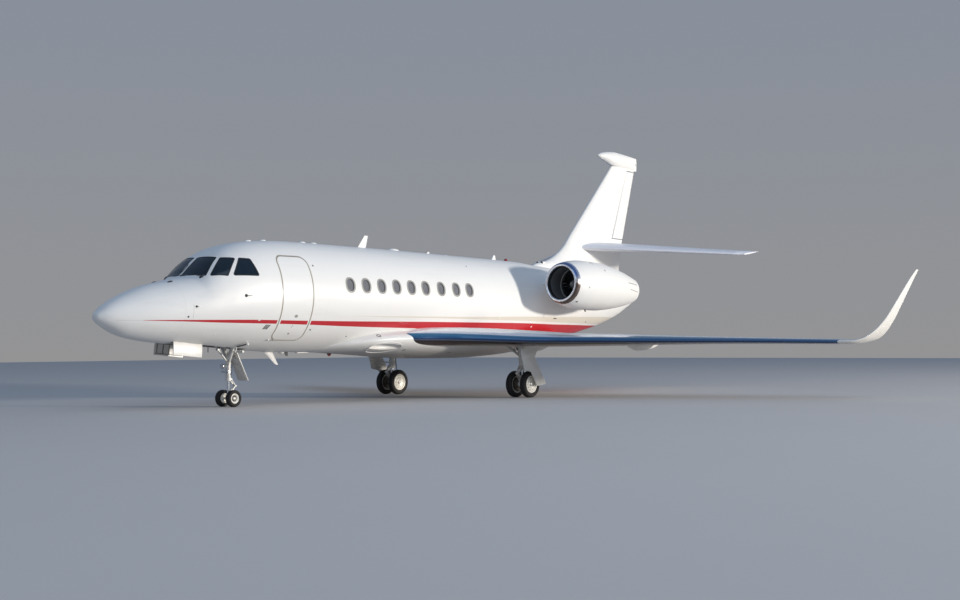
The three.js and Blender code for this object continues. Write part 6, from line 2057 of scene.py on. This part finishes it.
def build_cowl_fittings():
    dark = [disc(cowl_place(0.31, -56), 0.026, 0.002, 2.0), disc(cowl_place(0.035, -93), 0.016)]
    dark.append(blade(cowl_place(1.02, -84), [(0.03, 0.0), (-0.01, 0.060), (-0.045, 0.060), (-0.03, 0.0)], 0.016))
    raised = Vector((0, 0.0005, 0))
    for y0, y1, a0, a1 in COWL_LINES:
        path = [cowl_place(y0 + (y1 - y0) * t, a0 + (a1 - a0) * t) @ raised for t in np.linspace(0, 1, 8)]
        dark.append(rod("line", path, 0.0062, 8))
    put_pair("cowl_ports", dark, "panel", "engine_dark", angle=40)
    pale = [disc(cowl_place(0.474, -10), 0.022), disc(cowl_place(1.30, 38), 0.030)]
    pale.append(ring(cowl_place(0.95, 62), 0.060, 0.010))
    put_pair("cowl_caps", pale, "bezel", "white_paint", angle=40)
    rows = [(0.572, 0.4165), (0.572, 0.408), (0.580, 0.4045), (0.600, 0.4045), (0.608, 0.408), (0.608, 0.4165)]
    dress_pair(turned("fan_case_ring", rows, 96, ENGINE_PLACE, closed=True), "fan_case_ring", "rim", "wheel_alloy")


def build_wicks():
    """Static wicks along the trailing edges of the moving surfaces."""

    def wick(at):
        at = Vector(at)
        return rod("wick", [at + Vector((0, -0.03, 0)), at + Vector((0, 0.03, 0)), at + Vector((0, 0.09, -0.004))],
                   [0.005, 0.0035, 0.0025], 8)

    left = [wick(wing_place(x)(1.0, 0.0)) for x in (7.3, 7.9, 8.5, 9.0)]
    put_pair("aileron_wicks", left, "rubber_seal", "tyre_rubber", "aileron_left")
    left = [wick(tail_place(x)(1.0, 0.0)) for x in (1.4, 2.1, 2.8, 3.4)]
    put_pair("elevator_wicks", left, "rubber_seal", "tyre_rubber", "elevator_left")
    rows = [wick(upper_fin(z)[0](1.0, 0.0)) for z in (4.9, 5.5, 6.1, 6.5)]
    put("rudder_wicks", rows, "rubber_seal", "tyre_rubber", "rudder")
    tail = Matrix.Translation((0, NOSE + 19.60, 6.865))
    dress(turned("tail_light", [(-0.07, 0.0), (-0.07, 0.040), (0.0, 0.036), (0.022, 0.022), (0.030, 0.0)], 28, tail),
          "lamp", "cabin_glass", angle=50)


def build_belly_fittings():
    filler = ring(belly_place(6.955, 1.536), 0.056, 0.014, 0.006)
    dress_pair(filler, "filler_rings", "engine", "engine_dark", angle=40)
    pale = [disc(belly_place(s, z), r) for s, z, r in ((7.9, 1.20, 0.05), (9.6, 1.12, 0.06), (12.3, 1.40, 0.04))]
    put_pair("belly_caps", pale, "bezel", "white_paint", angle=40)


# ---- cockpit

SEAT_X, FLOOR_Z = 0.430, 1.650
PANEL_SLOPE = 0.040 / 0.440  # of the instrument panel's face


def pad(name, size, place):
    """A crowned cushion: a block whose upper and lower faces swell and whose corners are round."""
    count = 14
    verts, faces = [], []
    marks = np.linspace(-1, 1, count)
    for axis in range(3):
        for sign in (-1, 1):
            start = len(verts)
            for u in marks:
                for v in marks:
                    q = np.zeros(3)
                    q[axis], q[(axis + 1) % 3], q[(axis + 2) % 3] = sign, u, v
                    q = q / np.linalg.norm(q * np.abs(q) ** 3) ** 0.25
                    if axis == 2:
                        q[2] *= 1 + 0.35 * (1 - u * u) * (1 - v * v)
                    verts.append(tuple(q * size / 2))
            for i in range(count - 1):
                for j in range(count - 1):
                    a = start + i * count + j
                    face = (a, a + count, a + count + 1, a + 1)
                    faces.append(face if sign > 0 else face[::-1])
    piece = new_object(name, verts, faces)
    modifier = piece.modifiers.new("weld", "WELD")
    modifier.merge_threshold = 0.0004
    bake_modifiers(piece)
    piece.data.transform(place)
    return flip_outward(piece)


def block(name, x, half, s0, s1, low, high, round_by):
    """A softened box in the cockpit, between stations and heights over its floor."""
    return soften(box(name, x - half, x + half, NOSE + s0, NOSE + s1, FLOOR_Z + low, FLOOR_Z + high), round_by)


def build_cockpit():
    room = hull("room", CABIN_FRONT + 0.06, CENTRE_END - 0.005, WALL + 0.0013)
    floor = box("cabin_floor_slab", -2, 2, NOSE + 2.3, NOSE + CENTRE_END - 0.005, FLOOR_Z - 0.06, FLOOR_Z)
    boolean(floor, [room], "INTERSECT")
    relief = door_prism("relief", 0.012, 0.3, 2.0)
    boolean(relief, [hull("inside", 3.5, 5.19, WALL + 0.012)])
    boolean(floor, [relief])
    parts = [floor, block("pedestal", 0.0, 0.12, 2.7, 3.3, -0.01, 0.42, 0.018)]
    for x in (SEAT_X, -SEAT_X):
        parts.append(block("stalk", x, 0.06, 3.08, 3.3, -0.01, 0.25, 0.01))
        parts.append(block("pan", x, 0.23, 2.99, 3.43, 0.235, 0.262, 0.01))
    put("cabin_floor_slab", parts, "cabin", "cabin_interior", nodes=["cabin_floor"], angle=30)
    upright = Matrix.Rotation(math.radians(-10), 4, "X") @ Matrix.Rotation(math.radians(90), 4, "X")
    cushions = [
        ("seat", (0.45, 0.44, 0.105), 3.205, 0.312, Matrix.Identity(4)),
        ("back", (0.44, 0.70, 0.10), 3.492, 0.655, upright),
        ("headrest", (0.26, 0.21, 0.085), 3.562, 1.075, upright),
    ]
    for x, word in ((SEAT_X, "left"), (-SEAT_X, "right")):
        for part, size, s, rise, turn in cushions:
            place = Matrix.Translation((x, NOSE + s, FLOOR_Z + rise)) @ turn
            piece = pad(f"crew_{part}_{word}", np.array(size), place)
            dress(piece, "leather", "cabin_interior", angle=60)
    screens, rims = [], []
    for x in (-0.60, -0.31, 0.31, 0.60):
        at = (x, NOSE + 2.7105 + PANEL_SLOPE * 0.20, 2.50)
        place = Matrix.Translation(at) @ Matrix.Rotation(math.atan(PANEL_SLOPE), 4, "X")
        rim = soften(box("rim", -0.135, 0.135, -0.006, 0.010, -0.105, 0.105), 0.004)
        glass_pane = box("screen", -0.118, 0.118, 0.006, 0.0115, -0.088, 0.088)
        for part, kept in ((rim, rims), (glass_pane, screens)):
            part.data.transform(place)
            kept.append(part)
    for x in (SEAT_X, -SEAT_X):
        column = [(x, NOSE + 2.76, 1.90), (x, NOSE + 2.90, 2.20), (x, NOSE + 2.88, 2.30)]
        rims.append(hose("column", column, 0.018, 12, 14))
        grip = [(-0.13, 2.87, 2.42), (-0.13, 2.88, 2.32), (-0.04, 2.88, 2.28), (0.04, 2.88, 2.28), (0.13, 2.88, 2.32),
                (0.13, 2.87, 2.42)]
        grip = [(x + dx, NOSE + s, z) for dx, s, z in grip]
        rims.append(hose("yoke", grip, 0.015, 12, 28))
    for x in (-0.03, 0.03):
        lever = [(x, NOSE + 2.98, FLOOR_Z + 0.40), (x, NOSE + 3.02, FLOOR_Z + 0.53)]
        rims.append(rod("lever", lever, [0.008, 0.014], 12))
    put("cockpit_screens", screens, "screen", "panel_dark", angle=30)
    put("cockpit_controls", rims, "panel", "panel_dark", angle=45)
    for name, material in (("instrument_panel", "panel"), ("cockpit_bulkhead", "cabin")):
        NODES[name].data.materials.clear()
        NODES[name].data.materials.append(M[material])


build_side_fittings()
build_antennas()
build_cowl_fittings()
build_wicks()
build_belly_fittings()
build_cockpit()


# ---- floor and light


def build_floor():
    floor = new_object("floor", [(-90, -90, 0), (90, -90, 0), (90, 90, 0), (-90, 90, 0)], [(0, 1, 2, 3)])
    g = Graph("floor_pale")
    patch = g.noise(3.5, 4.0, 0.55)
    grit = g.noise(0.02, 2.0)
    color = g.tinge(patch, 0.4, (0.62, 0.585, 0.555), (0.56, 0.53, 0.50))
    color = g.tinge(grit, 0.12, color, (0.48, 0.455, 0.43))
    floor.data.materials.append(g.set(Base_Color=color, Roughness=0.85))


def area_light(name, at, towards, size, power, color):
    data = bpy.data.lights.new(name, "AREA")
    data.shape = "RECTANGLE"
    data.size, data.size_y = size
    data.energy = power
    data.color = color
    lamp = bpy.data.objects.new(name, data)
    lamp.location = at
    lamp.visible_camera = False
    lamp.rotation_euler = (Vector(towards) - Vector(at)).to_track_quat("-Z", "Y").to_euler()
    scene.collection.objects.link(lamp)


SKY_STRENGTH = 0.44
# share of the way up from straight down to straight up, colour
SKY = [(0.46, (0.70, 0.68, 0.66, 1)), (0.80, (0.42, 0.58, 0.86, 1))]


def build_light():
    world = bpy.data.worlds.new("studio")
    world.use_nodes = True
    tree = world.node_tree
    background = tree.nodes["Background"]
    coordinates = tree.nodes.new("ShaderNodeTexCoord")
    split = tree.nodes.new("ShaderNodeSeparateXYZ")
    ramp = tree.nodes.new("ShaderNodeValToRGB")
    for element, (at, color) in zip(ramp.color_ramp.elements, SKY):
        element.position = at
        element.color = color
    tree.links.new(coordinates.outputs["Generated"], split.inputs[0])
    share = tree.nodes.new("ShaderNodeMath")
    share.operation = "MULTIPLY_ADD"
    share.inputs[1].default_value = 0.5
    share.inputs[2].default_value = 0.5
    tree.links.new(split.outputs[2], share.inputs[0])
    tree.links.new(share.outputs[0], ramp.inputs[0])
    tree.links.new(ramp.outputs[0], background.inputs[0])
    background.inputs[1].default_value = SKY_STRENGTH
    scene.world = world
    area_light("key", (60.0, 29.0, 8.9), (0, 0, 2.4), (3.6, 3.6), 40500, (1.0, 0.94, 0.85))
    area_light("fill", (22, -16, 26), (0, 0, 2), (30, 30), 2200, (0.72, 0.86, 1.0))


build_floor()
build_light()
scene.view_settings.view_transform = "Standard"
